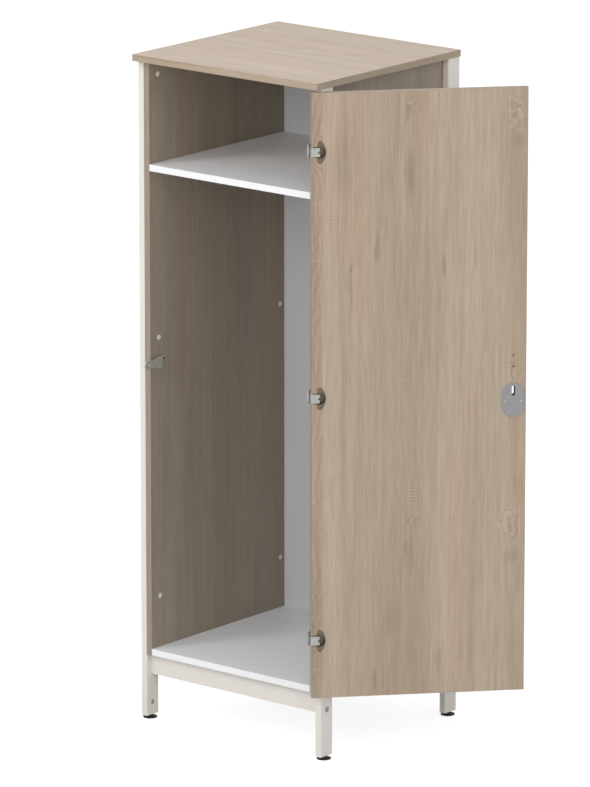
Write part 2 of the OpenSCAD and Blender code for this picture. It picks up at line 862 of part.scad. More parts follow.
module hinge_cup(z) {
    color(bronze) on_door() difference() {
        union() {
            cup_flange(z);
            difference() {
                door_bar(cup_d / 2, cup_in, -cup_deep, flange_t, z);
                door_bar(cup_d / 2 - cup_wall, cup_in, cup_wall - cup_deep, flange_t + past, z);
            }
            door_block(
                arm_screw_in - bridge_l / 2, arm_screw_in + bridge_l / 2,
                -cup_deep + cup_wall / 2, flange_t, z - bridge_w / 2, z + bridge_w / 2
            );
        }
        difference() {
            door_bar(cup_d / 2 - cup_wall, cup_in, cup_wall - cup_deep, flange_t + past, z);
            door_block(
                arm_screw_in - bridge_l / 2, arm_screw_in + bridge_l / 2,
                -cup_deep, flange_t + 2 * past, z - bridge_w / 2, z + bridge_w / 2
            );
        }
        door_bar(arm_screw_d / 2 + fit, arm_screw_in, cup_wall - cup_deep, flange_t + past, z);
        cup_screw_places(z) door_bar(wood_screw_d / 2 + fit, cup_screw_in, -past, flange_t + past, 0);
    }
}

module hinge_arm(z) {
    wrap_in = -arm_edge_gap - arm_wrap_t;
    color(zinc) on_door() difference() {
        union() {
            door_block(wrap_in, arm_reach, flange_t, arm_face, z - arm_h / 2, z + arm_h / 2);
            door_block(wrap_in, -arm_edge_gap, -door_t - pin_front, arm_face, z - arm_h / 2, z + arm_h / 2);
            bar_z(knuckle_r, z - arm_h / 2, z + arm_h / 2, pin_x, pin_y);
        }
        door_block(
            arm_reach - arm_notch_l, arm_reach + past, flange_t - past, arm_face + past,
            z - arm_notch_w / 2, z + arm_notch_w / 2
        );
        bar_z(pin_d / 2 + fit, z - arm_h, z + arm_h, pin_x, pin_y);
        door_bar(arm_screw_d / 2 + fit, arm_screw_in, flange_t - past, arm_face + past, z);
    }
}

module hinge_cup_screws() {
    color(zinc) on_door() for (z = hinge_zs) cup_screw_places(z) {
        door_bar(wood_head_d / 2, cup_screw_in, flange_t, flange_t + wood_head_t, 0);
        door_bar(wood_screw_d / 2, cup_screw_in, -wood_screw_l, flange_t, 0);
    }
}

module hinge_arm_screws() {
    color(zinc) on_door() for (z = hinge_zs) {
        door_bar(arm_head_d / 2, arm_screw_in, arm_face, arm_face + wood_head_t, z);
        door_bar(arm_screw_d / 2, arm_screw_in, cup_wall - cup_deep + fit, arm_face, z);
    }
}

// Door

module upright_slot(up0, up1) {
    y0 = door_in_y + up0;
    y1 = door_in_y + up1;
    half_w = slot_w / 2;
    half_h = slot_h / 2;
    short_w = half_w - slot_corner_r;
    short_h = half_h - slot_corner_r;
    block([lock_x - half_w, y0, slot_z - short_h], [lock_x + half_w, y1, slot_z + short_h]);
    block([lock_x - short_w, y0, slot_z - half_h], [lock_x + short_w, y1, slot_z + half_h]);
    for (i = sides, k = sides) bar_y(slot_corner_r, y0, y1, lock_x + i * short_w, slot_z + k * short_h);
}

module lock_bar(r, out, up0, up1, z) {
    bar_y(r, door_in_y + up0, door_in_y + up1, lock_x + out, z);
}

module door_panel() {
    color(oak) on_door() difference() {
        block([-door_edge, door_out_y, door_z0], [door_edge, door_in_y, door_z1]);
        for (z = hinge_zs) {
            door_bar(cup_d / 2 + fit, cup_in, -cup_deep - fit, past, z);
            cup_screw_places(z) door_bar(wood_screw_d / 2 + fit, cup_screw_in, -wood_screw_l - fit, past, 0);
        }
        upright_slot(-door_t - past, past);
        for (i = sides) {
            lock_bar(plate_screw_d / 2 + fit, i * lock_screw_out, -plate_screw_l, past, plate_screw_z);
            lock_bar(
                plate_screw_d / 2 + fit, i * lock_screw_out,
                -door_t - past, plate_screw_l - door_t, plate_screw_z
            );
        }
        for (z = [pull_z, pull_z + pull_pitch]) {
            lock_bar(handle_screw_r + fit, 0, -door_t - past, past, z);
            lock_bar(handle_head_r + fit, 0, -handle_head_deep, past, z);
        }
    }
}

module lock_plate(up0, up1) {
    shift = (lock_plate_h - lock_plate_w) / 2;
    color(zinc) on_door() difference() {
        union() {
            for (k = sides) lock_bar(lock_plate_w / 2, 0, up0, up1, lock_h + k * shift);
            block(
                [lock_x - lock_plate_w / 2, door_in_y + up0, lock_h - shift],
                [lock_x + lock_plate_w / 2, door_in_y + up1, lock_h + shift]
            );
        }
        upright_slot(up0 - past, up1 + past);
        for (i = sides)
            lock_bar(plate_screw_d / 2 + fit, i * lock_screw_out, up0 - past, up1 + past, plate_screw_z);
    }
}

module lock_plate_screws() {
    z = plate_screw_z;
    inner_face = lock_plate_t;
    outer_face = -door_t - lock_plate_t;
    color(zinc) on_door() for (i = sides) {
        lock_bar(plate_head_d / 2, i * lock_screw_out, inner_face, inner_face + plate_head_t, z);
        lock_bar(plate_screw_d / 2, i * lock_screw_out, -plate_screw_l, inner_face, z);
        lock_bar(plate_head_d / 2, i * lock_screw_out, outer_face - plate_head_t, outer_face, z);
        lock_bar(plate_screw_d / 2, i * lock_screw_out, outer_face, plate_screw_l - door_t, z);
    }
}

// Handle and its screws

module door_handle() {
    rod = pull_d / 2;
    bar_up = -door_t - pull_out;
    color(zinc) on_door() difference() {
        union() {
            for (z = [pull_z, pull_z + pull_pitch]) {
                lock_bar(rod, 0, bar_up, -door_t, z);
                translate([lock_x, door_in_y + bar_up, z]) sphere(r = rod);
            }
            bar_z(rod, pull_z, pull_z + pull_pitch, lock_x, door_in_y + bar_up);
        }
        for (z = [pull_z, pull_z + pull_pitch])
            lock_bar(handle_screw_r + fit, 0, -door_t - handle_thread_l - past, past - door_t, z);
    }
}

module handle_screws() {
    color(zinc) on_door() for (z = [pull_z, pull_z + pull_pitch]) {
        lock_bar(handle_head_r, 0, -handle_head_deep, handle_head_t - handle_head_deep, z);
        lock_bar(handle_screw_r, 0, -door_t - handle_thread_l, -handle_head_deep, z);
    }
}

// Hasp: seen from above its metal follows the panel, runs diagonally inwards and turns
// forward into the tongue; seen from the side it has the outline below

module hasp_plan() {
    half = hasp_t / 2;
    skew = hasp_t * tan(hasp_bend / 2);
    polygon([
        [-panel_in, hasp_tab_end_y],
        [hasp_t - panel_in, hasp_tab_end_y],
        [hasp_t - panel_in, hasp_bend_y + skew],
        [lock_x + half, hasp_turn_y + skew],
        [lock_x + half, hasp_tip_y],
        [lock_x - half, hasp_tip_y],
        [lock_x - half, hasp_turn_y],
        [-panel_in, hasp_bend_y]
    ]);
}

module hasp_side() {
    tab = hasp_tab_h / 2;
    body = hasp_body_h / 2;
    nose = hasp_nose_h / 2;
    translate([hasp_screw_in - post_y, 0]) circle(tab);
    polygon([
        [hasp_screw_in - post_y, tab],
        [hasp_bend_y, tab],
        [hasp_turn_y, body],
        [hasp_body_y, body],
        [hasp_body_y, hasp_corner_r - body],
        [hasp_body_y + hasp_corner_r, -body],
        [hasp_turn_y, -body],
        [hasp_bend_y, -tab],
        [hasp_screw_in - post_y, -tab]
    ]);
    translate([hasp_body_y + hasp_corner_r, hasp_corner_r - body]) circle(hasp_corner_r);
    translate([hasp_tip_y + nose, -nose]) square([hasp_body_y - hasp_tip_y, 2 * nose]);
    translate([hasp_tip_y + nose, 0]) circle(nose);
}

module hasp() {
    color(zinc) difference() {
        intersection() {
            translate([0, 0, slot_z - hasp_body_h]) linear_extrude(2 * hasp_body_h) hasp_plan();
            translate([-post_x, 0, slot_z]) rotate([90, 0, 90]) linear_extrude(post_x) hasp_side();
        }
        bar_x(eye_d / 2, -post_x, 0, hasp_tip_y + eye_in, slot_z);
        hasp_screw_place() bar_x(wood_screw_d / 2 + fit, -hasp_t - past, past, 0, 0);
    }
}

module hasp_screw() {
    color(zinc) hasp_screw_place() wood_screw(hasp_t);
}

post(-1, -1);  // post_front_left
post(1, -1);  // post_front_right
post(-1, 1);  // post_rear_left
post(1, 1);  // post_rear_right
post_top_plugs();
foot_plugs();
stretcher(-1);  // front_stretcher
stretcher(1);  // rear_stretcher
stretcher_plugs();
stretcher_bolts();
side_panel(-1);  // left_side_panel
side_panel(1);  // right_side_panel
top_panel();
bottom_board();
back_panel();
shelf();
cam_bolts();
cam_housings();
dowels();
panel_screws();
panel_nuts();
screw_caps();
back_screws();
hanging_rail();
rail_socket(-1);  // rail_socket_left
rail_socket(1);  // rail_socket_right
rail_socket_screws();
hinge_leaf(hinge_top_z);  // hinge_leaf_top
hinge_leaf(hinge_mid_z);  // hinge_leaf_middle
hinge_leaf(hinge_low_z);  // hinge_leaf_bottom
hinge_leaf_screws();
hinge_pins();
hasp();
hasp_screw();
door_panel();
hinge_cup(hinge_top_z);  // hinge_cup_top
hinge_cup(hinge_mid_z);  // hinge_cup_middle
hinge_cup(hinge_low_z);  // hinge_cup_bottom
hinge_arm(hinge_top_z);  // hinge_arm_top
hinge_arm(hinge_mid_z);  // hinge_arm_middle
hinge_arm(hinge_low_z);  // hinge_arm_bottom
hinge_cup_screws();
hinge_arm_screws();
lock_plate(0, lock_plate_t);  // lock_plate_inner
lock_plate(-door_t - lock_plate_t, -door_t);  // lock_plate_outer
lock_plate_screws();
door_handle();
handle_screws();
foot(-1, -1);  // foot_front_left
foot(1, -1);  // foot_front_right
foot(-1, 1);  // foot_rear_left
foot(1, 1);  // foot_rear_right
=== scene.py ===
import json
import math
import random

import bmesh
import bpy
from mathutils import Matrix, Vector


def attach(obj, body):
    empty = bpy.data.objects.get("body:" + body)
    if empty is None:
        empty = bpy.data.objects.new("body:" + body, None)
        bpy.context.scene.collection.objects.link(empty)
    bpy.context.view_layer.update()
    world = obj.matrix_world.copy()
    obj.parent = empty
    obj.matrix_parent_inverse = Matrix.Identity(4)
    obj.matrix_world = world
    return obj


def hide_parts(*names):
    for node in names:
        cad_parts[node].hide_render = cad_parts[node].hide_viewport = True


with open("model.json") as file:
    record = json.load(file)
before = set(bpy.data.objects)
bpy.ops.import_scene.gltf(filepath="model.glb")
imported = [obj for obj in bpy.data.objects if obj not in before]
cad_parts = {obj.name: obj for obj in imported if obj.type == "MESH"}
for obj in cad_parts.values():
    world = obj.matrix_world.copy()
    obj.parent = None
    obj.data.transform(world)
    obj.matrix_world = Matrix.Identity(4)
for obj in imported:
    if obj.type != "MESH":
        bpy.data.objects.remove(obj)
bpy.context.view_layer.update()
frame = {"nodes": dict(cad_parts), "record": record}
nodes = frame["nodes"]
scene = bpy.context.scene
scene.view_settings.view_transform = "Standard"
print("frame loaded:", len(nodes), "nodes")

# The door swings on one upright line; its pieces are drawn with the door shut and then swung open
doorSwing = {"angle": 228, "pin": (0.301, -0.326)}
pinPlace = Matrix.Translation(Vector((*doorSwing["pin"], 0)))
swingOpen = pinPlace @ Matrix.Rotation(math.radians(doorSwing["angle"]), 4, "Z") @ pinPlace.inverted()
swingShut = swingOpen.inverted()


def paint(red, green, blue):  # turns a colour as a screen shows it, 0 to 255, into a shader's linear one
    channels = [c / 255 for c in (red, green, blue)]
    return tuple(c / 12.92 if c <= 0.04045 else ((c + 0.055) / 1.055) ** 2.4 for c in channels) + (1,)


def addObject(name, data):
    made = bpy.data.objects.new(name, data)
    scene.collection.objects.link(made)
    return made


def meshOf(name, bm):  # a mesh of a bmesh, which it frees
    mesh = bpy.data.meshes.new(name)
    bm.to_mesh(mesh)
    bm.free()
    return mesh


# Camera, floor and light

view = {  # pixels, degrees and metres
    "focal": 6792.3, "imageHeight": 787, "turn": 39.525, "tilt": 13.944,
    "distance": 18.867, "aimSide": -0.0112, "aimHeight": 0.9326, "farthest": 200,
}


def addCamera():
    turn, tilt = math.radians(view["turn"]), math.radians(view["tilt"])
    ahead = Vector((-math.sin(turn) * math.cos(tilt), math.cos(turn) * math.cos(tilt), -math.sin(tilt)))
    right = Vector((math.cos(turn), math.sin(turn), 0))
    up = right.cross(ahead)
    aim = Vector((0, 0, view["aimHeight"])) + right * view["aimSide"]
    data = bpy.data.cameras.new("viewCamera")
    data.sensor_width = 36
    data.lens = view["focal"] / view["imageHeight"] * data.sensor_width
    data.clip_end = view["farthest"]
    camera = addObject("viewCamera", data)
    turned = Matrix((right, up, -ahead)).transposed().to_4x4()
    camera.matrix_world = Matrix.Translation(aim - ahead * view["distance"]) @ turned
    scene.camera = camera


addCamera()


class Wire:
    # One output of a shader node; sums and products of wires add Math nodes
    def __init__(self, finish, socket):
        self.finish = finish
        self.socket = socket

    def calc(self, operation, *values):
        return self.finish.add("ShaderNodeMath", {"operation": operation}, values)

    def __add__(self, other):
        return self.calc("ADD", self, other)

    def __radd__(self, other):
        return self.calc("ADD", other, self)

    def __sub__(self, other):
        return self.calc("SUBTRACT", self, other)

    def __rsub__(self, other):
        return self.calc("SUBTRACT", other, self)

    def __mul__(self, other):
        return self.calc("MULTIPLY", self, other)

    def __rmul__(self, other):
        return self.calc("MULTIPLY", other, self)

    def __abs__(self):
        return self.calc("ABSOLUTE", self)

    def least(self, other):
        return self.calc("MINIMUM", self, other)

    def most(self, other):
        return self.calc("MAXIMUM", self, other)

    def sine(self):
        return self.calc("SINE", self)

    def rise(self, low, high):  # 0 below low, 1 above high, smooth between
        settings = {"interpolation_type": "SMOOTHSTEP"}
        sockets = {"Value": self, "From Min": low, "From Max": high}
        return self.finish.add("ShaderNodeMapRange", settings, sockets)


class Finish:
    # A node material, or the world, with its nodes added by one method
    def __init__(self, name, tree=None):
        if tree is None:
            self.material = bpy.data.materials.new(name)
            self.material.use_nodes = True
            tree = self.material.node_tree
        self.tree = tree
        tree.nodes.clear()

    def add(self, kind, settings=None, sockets=(), out=0):
        node = self.tree.nodes.new(kind)
        for key, value in (settings or {}).items():
            setattr(node, key, value)
        pairs = sockets.items() if isinstance(sockets, dict) else enumerate(sockets)
        for key, value in pairs:
            if isinstance(value, Wire):
                self.tree.links.new(value.socket, node.inputs[key])
            else:
                node.inputs[key].default_value = value
        return Wire(self, node.outputs[out]) if len(node.outputs) else None

    def point(self, x, y, z=0.0):
        return self.add("ShaderNodeCombineXYZ", {}, [x, y, z])

    def parts(self, vector):
        split = self.add("ShaderNodeSeparateXYZ", {}, [vector]).socket.node
        return [Wire(self, output) for output in split.outputs]

    def noise(self, x, y, z=0.0, detail=2.0, roughness=0.5):  # a fixed z only picks another pattern
        sockets = {"Vector": self.point(x, y, z), "Scale": 1.0, "Detail": detail, "Roughness": roughness}
        return self.add("ShaderNodeTexNoise", {}, sockets)

    def mix(self, factor, first, second, mode="MIX"):
        settings = {"data_type": "RGBA", "blend_type": mode}
        sockets = {0: factor, 6: first, 7: second}  # the factor and the two colours
        return self.add("ShaderNodeMix", settings, sockets, out=2)

    def uv(self, layer):
        return self.parts(self.add("ShaderNodeUVMap", {"uv_map": layer}))[:2]

    def place(self):  # the point of the piece itself, in metres
        return self.parts(self.add("ShaderNodeTexCoord", out="Object"))

    def bump(self, height, strength, distance):
        return self.add("ShaderNodeBump", {}, {"Height": height, "Strength": strength, "Distance": distance})

    def surface(self, colour, rough, normal, metallic=0.0):
        sockets = {"Base Color": colour, "Roughness": rough, "Normal": normal, "Metallic": metallic}
        shader = self.add("ShaderNodeBsdfPrincipled", {}, sockets)
        self.add("ShaderNodeOutputMaterial", {}, {"Surface": shader})
        return self.material


light = {
    "horizon": 0.577, "east": 0.215,  # the sky's even glow, and what it gains towards +x
    # the floor's colour and glow to the eye, its colour to the light, and its size in metres
    "floorSeen": 0.5, "floorGlow": 0.76, "floorBounce": 0.5, "floorSize": 60,
    "aim": (0, 0, 1),  # where every lamp points
    # name, place, disc width, power
    "lamps": [("keyLamp", (-3.4, -6.2, 6.4), 2.6, 174), ("frontLamp", (1.45, -8.22, 4.37), 5.0, 173),
              ("lowLamp", (1.45, -8.7, 2.6), 4.0, 64), ("sideLamp", (7.32, -4.23, 4.08), 5.0, 47),
              ("highLamp", (4.61, -3.87, 7.69), 2.4, 41), ("rightLamp", (8.8, -2.0, 1.6), 2.4, 95)],
}


def addWorld():
    world = bpy.data.worlds.new("studio")
    world.use_nodes = True
    scene.world = world
    sky = Finish("studio", world.node_tree)
    x = sky.parts(sky.add("ShaderNodeTexCoord", out="Generated"))[0]
    glow = light["horizon"] + x.most(0.0) * light["east"]
    soft = sky.add("ShaderNodeBackground", {}, {"Color": (1, 1, 1, 1), "Strength": glow})
    seen = sky.add("ShaderNodeBackground", {}, {"Color": (1, 1, 1, 1), "Strength": 1.0})
    surface = sky.add("ShaderNodeMixShader", {}, [seenRays(sky), soft, seen])
    sky.add("ShaderNodeOutputWorld", {}, {"Surface": surface})


def seenRays(finish):  # 1 for rays that show the background to the eye, in a mirror or through glass
    kinds = ("Is Camera Ray", "Is Glossy Ray", "Is Transmission Ray")
    camera, glossy, through = [finish.add("ShaderNodeLightPath", out=kind) for kind in kinds]
    return camera.most(glossy).most(through)


def addFloor():
    bm = bmesh.new()
    bmesh.ops.create_grid(bm, x_segments=1, y_segments=1, size=light["floorSize"] / 2)
    floor = addObject("studioFloor", meshOf("studioFloor", bm))
    finish = Finish("studioFloor")
    bounce, seen, glow = (light[key] for key in ("floorBounce", "floorSeen", "floorGlow"))
    rays = seenRays(finish)
    colour = finish.mix(rays, (bounce, bounce, bounce, 1), (seen, seen, seen, 1))
    shaded = finish.add("ShaderNodeBsdfDiffuse", {}, {"Color": colour})
    glowColour = finish.mix(rays, (0, 0, 0, 1), (glow, glow, glow, 1))
    glowing = finish.add("ShaderNodeEmission", {}, {"Color": glowColour, "Strength": 1.0})
    shader = finish.add("ShaderNodeAddShader", {}, [shaded, glowing])
    finish.add("ShaderNodeOutputMaterial", {}, {"Surface": shader})
    floor.data.materials.append(finish.material)


def addLamp(name, place, size, power):
    data = bpy.data.lights.new(name, "AREA")
    data.shape = "DISK"
    data.size = size
    data.energy = power
    lamp = addObject(name, data)
    lamp.location = place
    lamp.rotation_euler = (Vector(light["aim"]) - Vector(place)).to_track_quat("-Z", "Y").to_euler()
    lamp.visible_camera = False


addWorld()
addFloor()
for lamp in light["lamps"]:
    addLamp(*lamp)
print("camera, floor and light placed")

# Finishes

oak = {
    # name: dark end, light end; the middle of both is the board's plain tone
    # the side boards' oak is darker than the door's, as painted shade for the inside of the cabinet
    "oakDoor": ((136, 119, 100), (187, 170, 151)), "oakSideShaded": ((125, 113, 98), (165, 153, 138)),
    # the top board's narrow faces take a darker oak than its top, as painted shade of its sides
    "oakTop": ((166, 146, 126), (220, 202, 182)), "oakEdgeShaded": ((138, 122, 103), (181, 165, 145)),
    # waves per metre across and along the grain, and for the ripples their weight
    "ripples": [(4, 0.4, 0.26), (9, 0.6, 0.32), (26, 1.0, 0.42), (75, 2.4, 0.50), (220, 9, 0.60)],
    "fibres": (620, 14), "streaks": (70, 2.5), "pores": (1500, 42), "hues": (12, 0.6),
    "plainTone": 0.53, "fibreTone": 0.55, "sawTone": 0.08, "poreTone": 0.42,
    "warm": (1.02, 0.98, 0.94, 1), "cool": (0.98, 1.005, 1.025, 1), "roughness": 0.48,
    # metres from the border: where the rubbed rim ends, and both sides of the joint of the edge band
    "rim": (0.0004, 0.0014), "joint": (0.0007, 0.0010, 0.0012, 0.0016),
    "rubbed": paint(196, 184, 166), "core": paint(186, 164, 130), "coreDark": paint(150, 124, 90),
}

# The door's own figure, in mm: s from the hinge edge, d down from the top
doorFigure = {
    "corner": (295, 844),
    # s, half width, how much lighter: plank-wide bands that run the whole height
    "bands": [(48, 26, 0.10), (170, 22, -0.04), (235, 62, -0.10), (305, 30, -0.04), (375, 16, 0.03),
              (450, 85, 0.07), (575, 30, -0.04)],
    # s, d, half width, half height, how much darker
    "streaks": [(107, 550, 5, 145, 0.10), (107, 485, 4, 30, 0.10), (85, 180, 22, 180, 0.05),
                (180, 425, 6, 72, 0.09), (263, 54, 6, 50, 0.10), (268, 235, 13, 130, 0.05),
                (361, 481, 6, 45, 0.09), (364, 368, 9, 76, 0.05), (445, 500, 3, 170, 0.06),
                (562, 146, 20, 36, 0.06), (226, 1476, 26, 70, 0.03), (270, 1280, 12, 75, 0.05),
                (258, 1268, 4, 40, 0.08), (549, 1305, 20, 30, 0.07), (352, 1590, 8, 75, 0.08),
                (178, 1645, 5, 48, 0.09)],
    # s, d, radius
    "swirls": [(278, 40, 24), (557, 75, 42), (548, 1215, 46), (272, 1205, 28), (560, 785, 28)],
    # s, d, half width, half height, strength
    "sawMarks": [(66, 338, 14, 30, 1.0), (461, 461, 13, 28, 1.0), (465, 1110, 18, 70, 0.6),
                 (278, 1123, 20, 32, 1.3), (452, 1599, 10, 18, 1.0), (245, 808, 12, 12, 0.8),
                 (350, 1006, 8, 10, 0.8)],
    # how far apart saw lines are, where the stile along the hinge edge ends, and d of its joints
    "sawPitch": 9, "stile": 29.3, "stileJoints": (305, 461, 1457, 1606),
    "bend": 22, "curl": (60, 90), "swirlRings": 10,  # how far lines stray, and the rings of a swirl
    "tones": {"streak": 3.2, "swirl": 0.42, "saw": 0.26, "arch": 0.12, "joint": 0.16, "seam": 0.18,
              "stile": 0.13},
}


def rimDistance(finish):  # how far a point of a board's face lies from the face's border, in metres
    u, v = finish.uv("rim")
    halfU, halfV = finish.uv("half")
    return (halfU - abs(u)).least(halfV - abs(v))


def spot(finish, at, s, d, halfS, halfD):  # 1 in the middle of an oval, falling to 0 at its rim
    factors, offset = (1 / halfS, 1 / halfD, 0), (-s / halfS, -d / halfD, 0)
    scaled = finish.add("ShaderNodeVectorMath", {"operation": "MULTIPLY_ADD"}, [at, factors, offset])
    reach = finish.add("ShaderNodeVectorMath", {"operation": "LENGTH"}, [scaled], out="Value")
    return 1 - reach.rise(0.15, 1.0)


def doorTone(finish, u, v):  # the streaks, swirls and saw marks that the door shows, as a change of tone
    (cornerS, cornerD), (curlS, curlD), tones = (doorFigure[key] for key in ("corner", "curl", "tones"))
    s, d = cornerS - u * 1000, cornerD - v * 1000
    waver = finish.noise(s * 0.02, d * 0.012, 11.0, 2.0) - 0.5
    bentS = s + waver * doorFigure["bend"]
    at = finish.point(bentS, d)
    strayS, strayD = [finish.noise(s * 0.045, d * 0.03, seed, 2.0) - 0.5 for seed in (14.0, 15.0)]
    curled = finish.point(s + strayS * curlS, d + strayD * curlD)
    tone = 0.0
    for s0, half, lighter in doorFigure["bands"]:
        tone = tone + (1 - abs(bentS - s0).rise(half * 0.6, half * 1.2)) * lighter
    for s0, d0, halfS, halfD, darker in doorFigure["streaks"]:
        tone = tone - spot(finish, at, s0, d0, halfS * 1.5, halfD) * (darker * tones["streak"])
    for s0, d0, radius in doorFigure["swirls"]:
        mask = spot(finish, curled, s0, d0, radius, radius * 1.4)
        rings = (mask * doorFigure["swirlRings"] + waver * 18).sine()
        tone = tone + rings * mask.least(0.5) * tones["swirl"]
    lines = (d * (math.tau / doorFigure["sawPitch"]) + waver * 3).sine().rise(0.1, 0.9)
    for s0, d0, halfS, halfD, strength in doorFigure["sawMarks"]:
        mask = spot(finish, finish.point(s, d), s0, d0, halfS * 1.2, halfD * 1.2).rise(0.05, 0.4)
        tone = tone + (lines - 0.35) * mask * (tones["saw"] * strength)
    stile = 1 - s.rise(doorFigure["stile"] - 0.3, doorFigure["stile"] + 0.3)
    seam = 1 - abs(s - doorFigure["stile"]).rise(0.3, 1.2)
    slant = finish.noise(0.0, d * 0.005, 17.0, 1.0).rise(0.42, 0.58)
    flow = finish.noise(s * 0.03, d * 0.006, 12.0, 2.0) * 9
    arches = (bentS * 0.34 + d * slant * 0.075 + flow).sine() * stile
    joints = 0.0
    for place in doorFigure["stileJoints"]:
        joints = joints + (1 - abs(d - place).rise(1.0, 3.0)) * stile
    tone = tone + arches * tones["arch"] + joints * tones["joint"] - seam * tones["seam"]
    tone = tone - stile * tones["stile"]
    warm = stile * (finish.noise(0.0, d * 0.004, 13.0, 1.0) - 0.6)
    return tone, warm


def oakFinish(name, figured=False):
    finish = Finish(name)
    u, v = finish.uv("grain")
    across = u + (finish.noise(u * 2.4, v * 0.7, 3.1, 2.0) - 0.5) * 0.03

    def grain(high, low, pattern, detail=2.0):  # noise that is drawn out along the grain
        return finish.noise(across * high, v * low, pattern, detail)

    tone = oak["plainTone"]
    for count, (high, low, weight) in enumerate(oak["ripples"]):
        tone = tone + (grain(high, low, 1.0 + count) - 0.5) * weight
    fibre = grain(*oak["fibres"], 7.0, 3.0)
    streaky = grain(*oak["streaks"], 16.0).rise(0.35, 0.65)
    pores = grain(*oak["pores"], 4.0).rise(0.62, 0.74) * (streaky * 0.7 + 0.3)
    sawn = finish.noise(u * 11, v * 6, 9.0, 1.0).rise(0.62, 0.70)
    sawLines = finish.noise(u * 10, v * 300, 8.0, 1.0).rise(0.52, 0.66) * sawn
    tone = tone + (fibre - 0.5) * oak["fibreTone"] + sawLines * oak["sawTone"] - pores * oak["poreTone"]
    hue = grain(*oak["hues"], 10.0, 3.0).rise(0.3, 0.7)
    if figured:
        figure, warm = doorTone(finish, u, v)
        tone = tone + figure
        hue = hue + warm * 1.6
    dark, bright = oak[name]
    colour = finish.mix(tone, paint(*dark), paint(*bright))
    colour = finish.mix(1.0, colour, finish.mix(hue, oak["warm"], oak["cool"]), "MULTIPLY")
    edge = rimDistance(finish)
    worn = (1 - edge.rise(*oak["rim"])) * finish.noise(u * 60, v * 60, 9.5, 3.0).rise(0.42, 0.65)
    joint = edge.rise(*oak["joint"][:2]) * (1 - edge.rise(*oak["joint"][2:]))
    colour = finish.mix(joint * 0.25, colour, paint(*[c - 24 for c in dark]))
    colour = finish.mix(worn * 0.35, colour, oak["rubbed"])
    rough = oak["roughness"] + (fibre - 0.5) * 0.2 + pores * 0.12 + worn * 0.1
    height = fibre * 0.6 - pores * 1.0 - sawLines * 0.4
    return finish.surface(colour, rough, finish.bump(height, 0.3, 0.0002))


# the back board's white is greyer than the other boards' faces, as painted shade for the back of the cabinet
white = {"face": paint(233, 235, 238), "back": paint(203, 204, 206), "edge": paint(239, 240, 241),
         "grime": paint(196, 195, 190), "roughness": 0.42, "rim": (0.0003, 0.0014)}


def laminateFinish(name, colour):
    finish = Finish(name)
    x, y, z = finish.place()
    u, v = finish.uv("grain")
    cloud = finish.noise(x * 4, y * 4, z * 4, 3.0)
    peel = finish.noise(u * 900, v * 900, 1.0, 2.0)
    edge = rimDistance(finish)
    worn = (1 - edge.rise(*white["rim"])) * finish.noise(u * 50, v * 50, 2.0, 3.0).rise(0.45, 0.65)
    dust = cloud.rise(0.45, 0.75) * 0.10 + worn * 0.45
    tint = finish.mix(dust, colour, white["grime"])
    rough = white["roughness"] + (peel - 0.5) * 0.12 + dust * 0.3
    return finish.surface(tint, rough, finish.bump(peel, 0.12, 0.0001))


def coreFinish():  # bare chipboard inside holes and pockets
    finish = Finish("chipboardCore")
    x, y, z = finish.place()
    sockets = {"Vector": finish.point(x * 400, y * 400, z * 400), "Scale": 1.0}
    chips = finish.add("ShaderNodeTexVoronoi", {}, sockets, out="Color")
    flakes = finish.noise(x * 900, y * 900, z * 900, 3.0)
    colour = finish.mix(flakes.rise(0.35, 0.65), oak["coreDark"], oak["core"])
    colour = finish.mix(0.35, colour, chips, "SOFT_LIGHT")
    return finish.surface(colour, 0.85, finish.bump(flakes, 0.5, 0.0004))


framePaint = {"colour": paint(225, 220, 213), "low": paint(207, 200, 191), "roughness": 0.4}


def paintFinish():
    finish = Finish("framePaint")
    x, y, z = finish.place()
    peel = finish.noise(x * 1300, y * 1300, z * 1300, 2.0)
    cloud = finish.noise(x * 9, y * 9, z * 3, 3.0)
    speck = finish.noise(x * 240, y * 240, z * 240, 2.0).rise(0.70, 0.74)
    # darker towards the floor, from 20 cm down
    nearFloor = 1 - z.rise(0.02, 0.20)
    dust = nearFloor * 0.25 + cloud.rise(0.5, 0.8) * 0.18 + speck * 0.25
    colour = finish.mix(dust, framePaint["colour"], framePaint["low"])
    rough = framePaint["roughness"] + (peel - 0.5) * 0.14 + dust * 0.3
    return finish.surface(colour, rough, finish.bump(peel, 0.25, 0.0002))


def metalFinish(name, colour, dark, roughness, brushed, metallic):
    finish = Finish(name)
    x, y, z = finish.place()
    grainy = finish.noise(x * 700, y * 700, z * 6000, 2.0)
    cloud = finish.noise(x * 160, y * 160, z * 160, 4.0, 0.6)
    spots = finish.noise(x * 900, y * 900, z * 900, 2.0).rise(0.62, 0.74)
    tarnish = cloud.rise(0.38, 0.70) * 0.55 + spots * 0.35
    tint = finish.mix(tarnish, colour, dark)
    rough = roughness + (grainy - 0.5) * 0.18 * brushed + tarnish * 0.15
    return finish.surface(tint, rough, finish.bump(grainy + cloud, 0.12 * brushed, 0.00008), metallic)


def plasticFinish(name, colour, dusty, roughness):
    finish = Finish(name)
    x, y, z = finish.place()
    grainy = finish.noise(x * 1600, y * 1600, z * 1600, 2.0)
    cloud = finish.noise(x * 45, y * 45, z * 45, 3.0)
    tint = finish.mix(cloud.rise(0.45, 0.75) * 0.5, colour, dusty)
    rough = roughness + (grainy - 0.5) * 0.2
    return finish.surface(tint, rough, finish.bump(grainy, 0.3, 0.00015))


def dowelFinish():
    finish = Finish("beechDowel")
    x, y, z = finish.place()
    rays = finish.noise(x * 900, y * 120, z * 120, 3.0)
    tint = finish.mix(rays.rise(0.35, 0.65), paint(196, 160, 118), paint(168, 128, 88))
    return finish.surface(tint, 0.7, finish.bump(rays, 0.3, 0.0003))


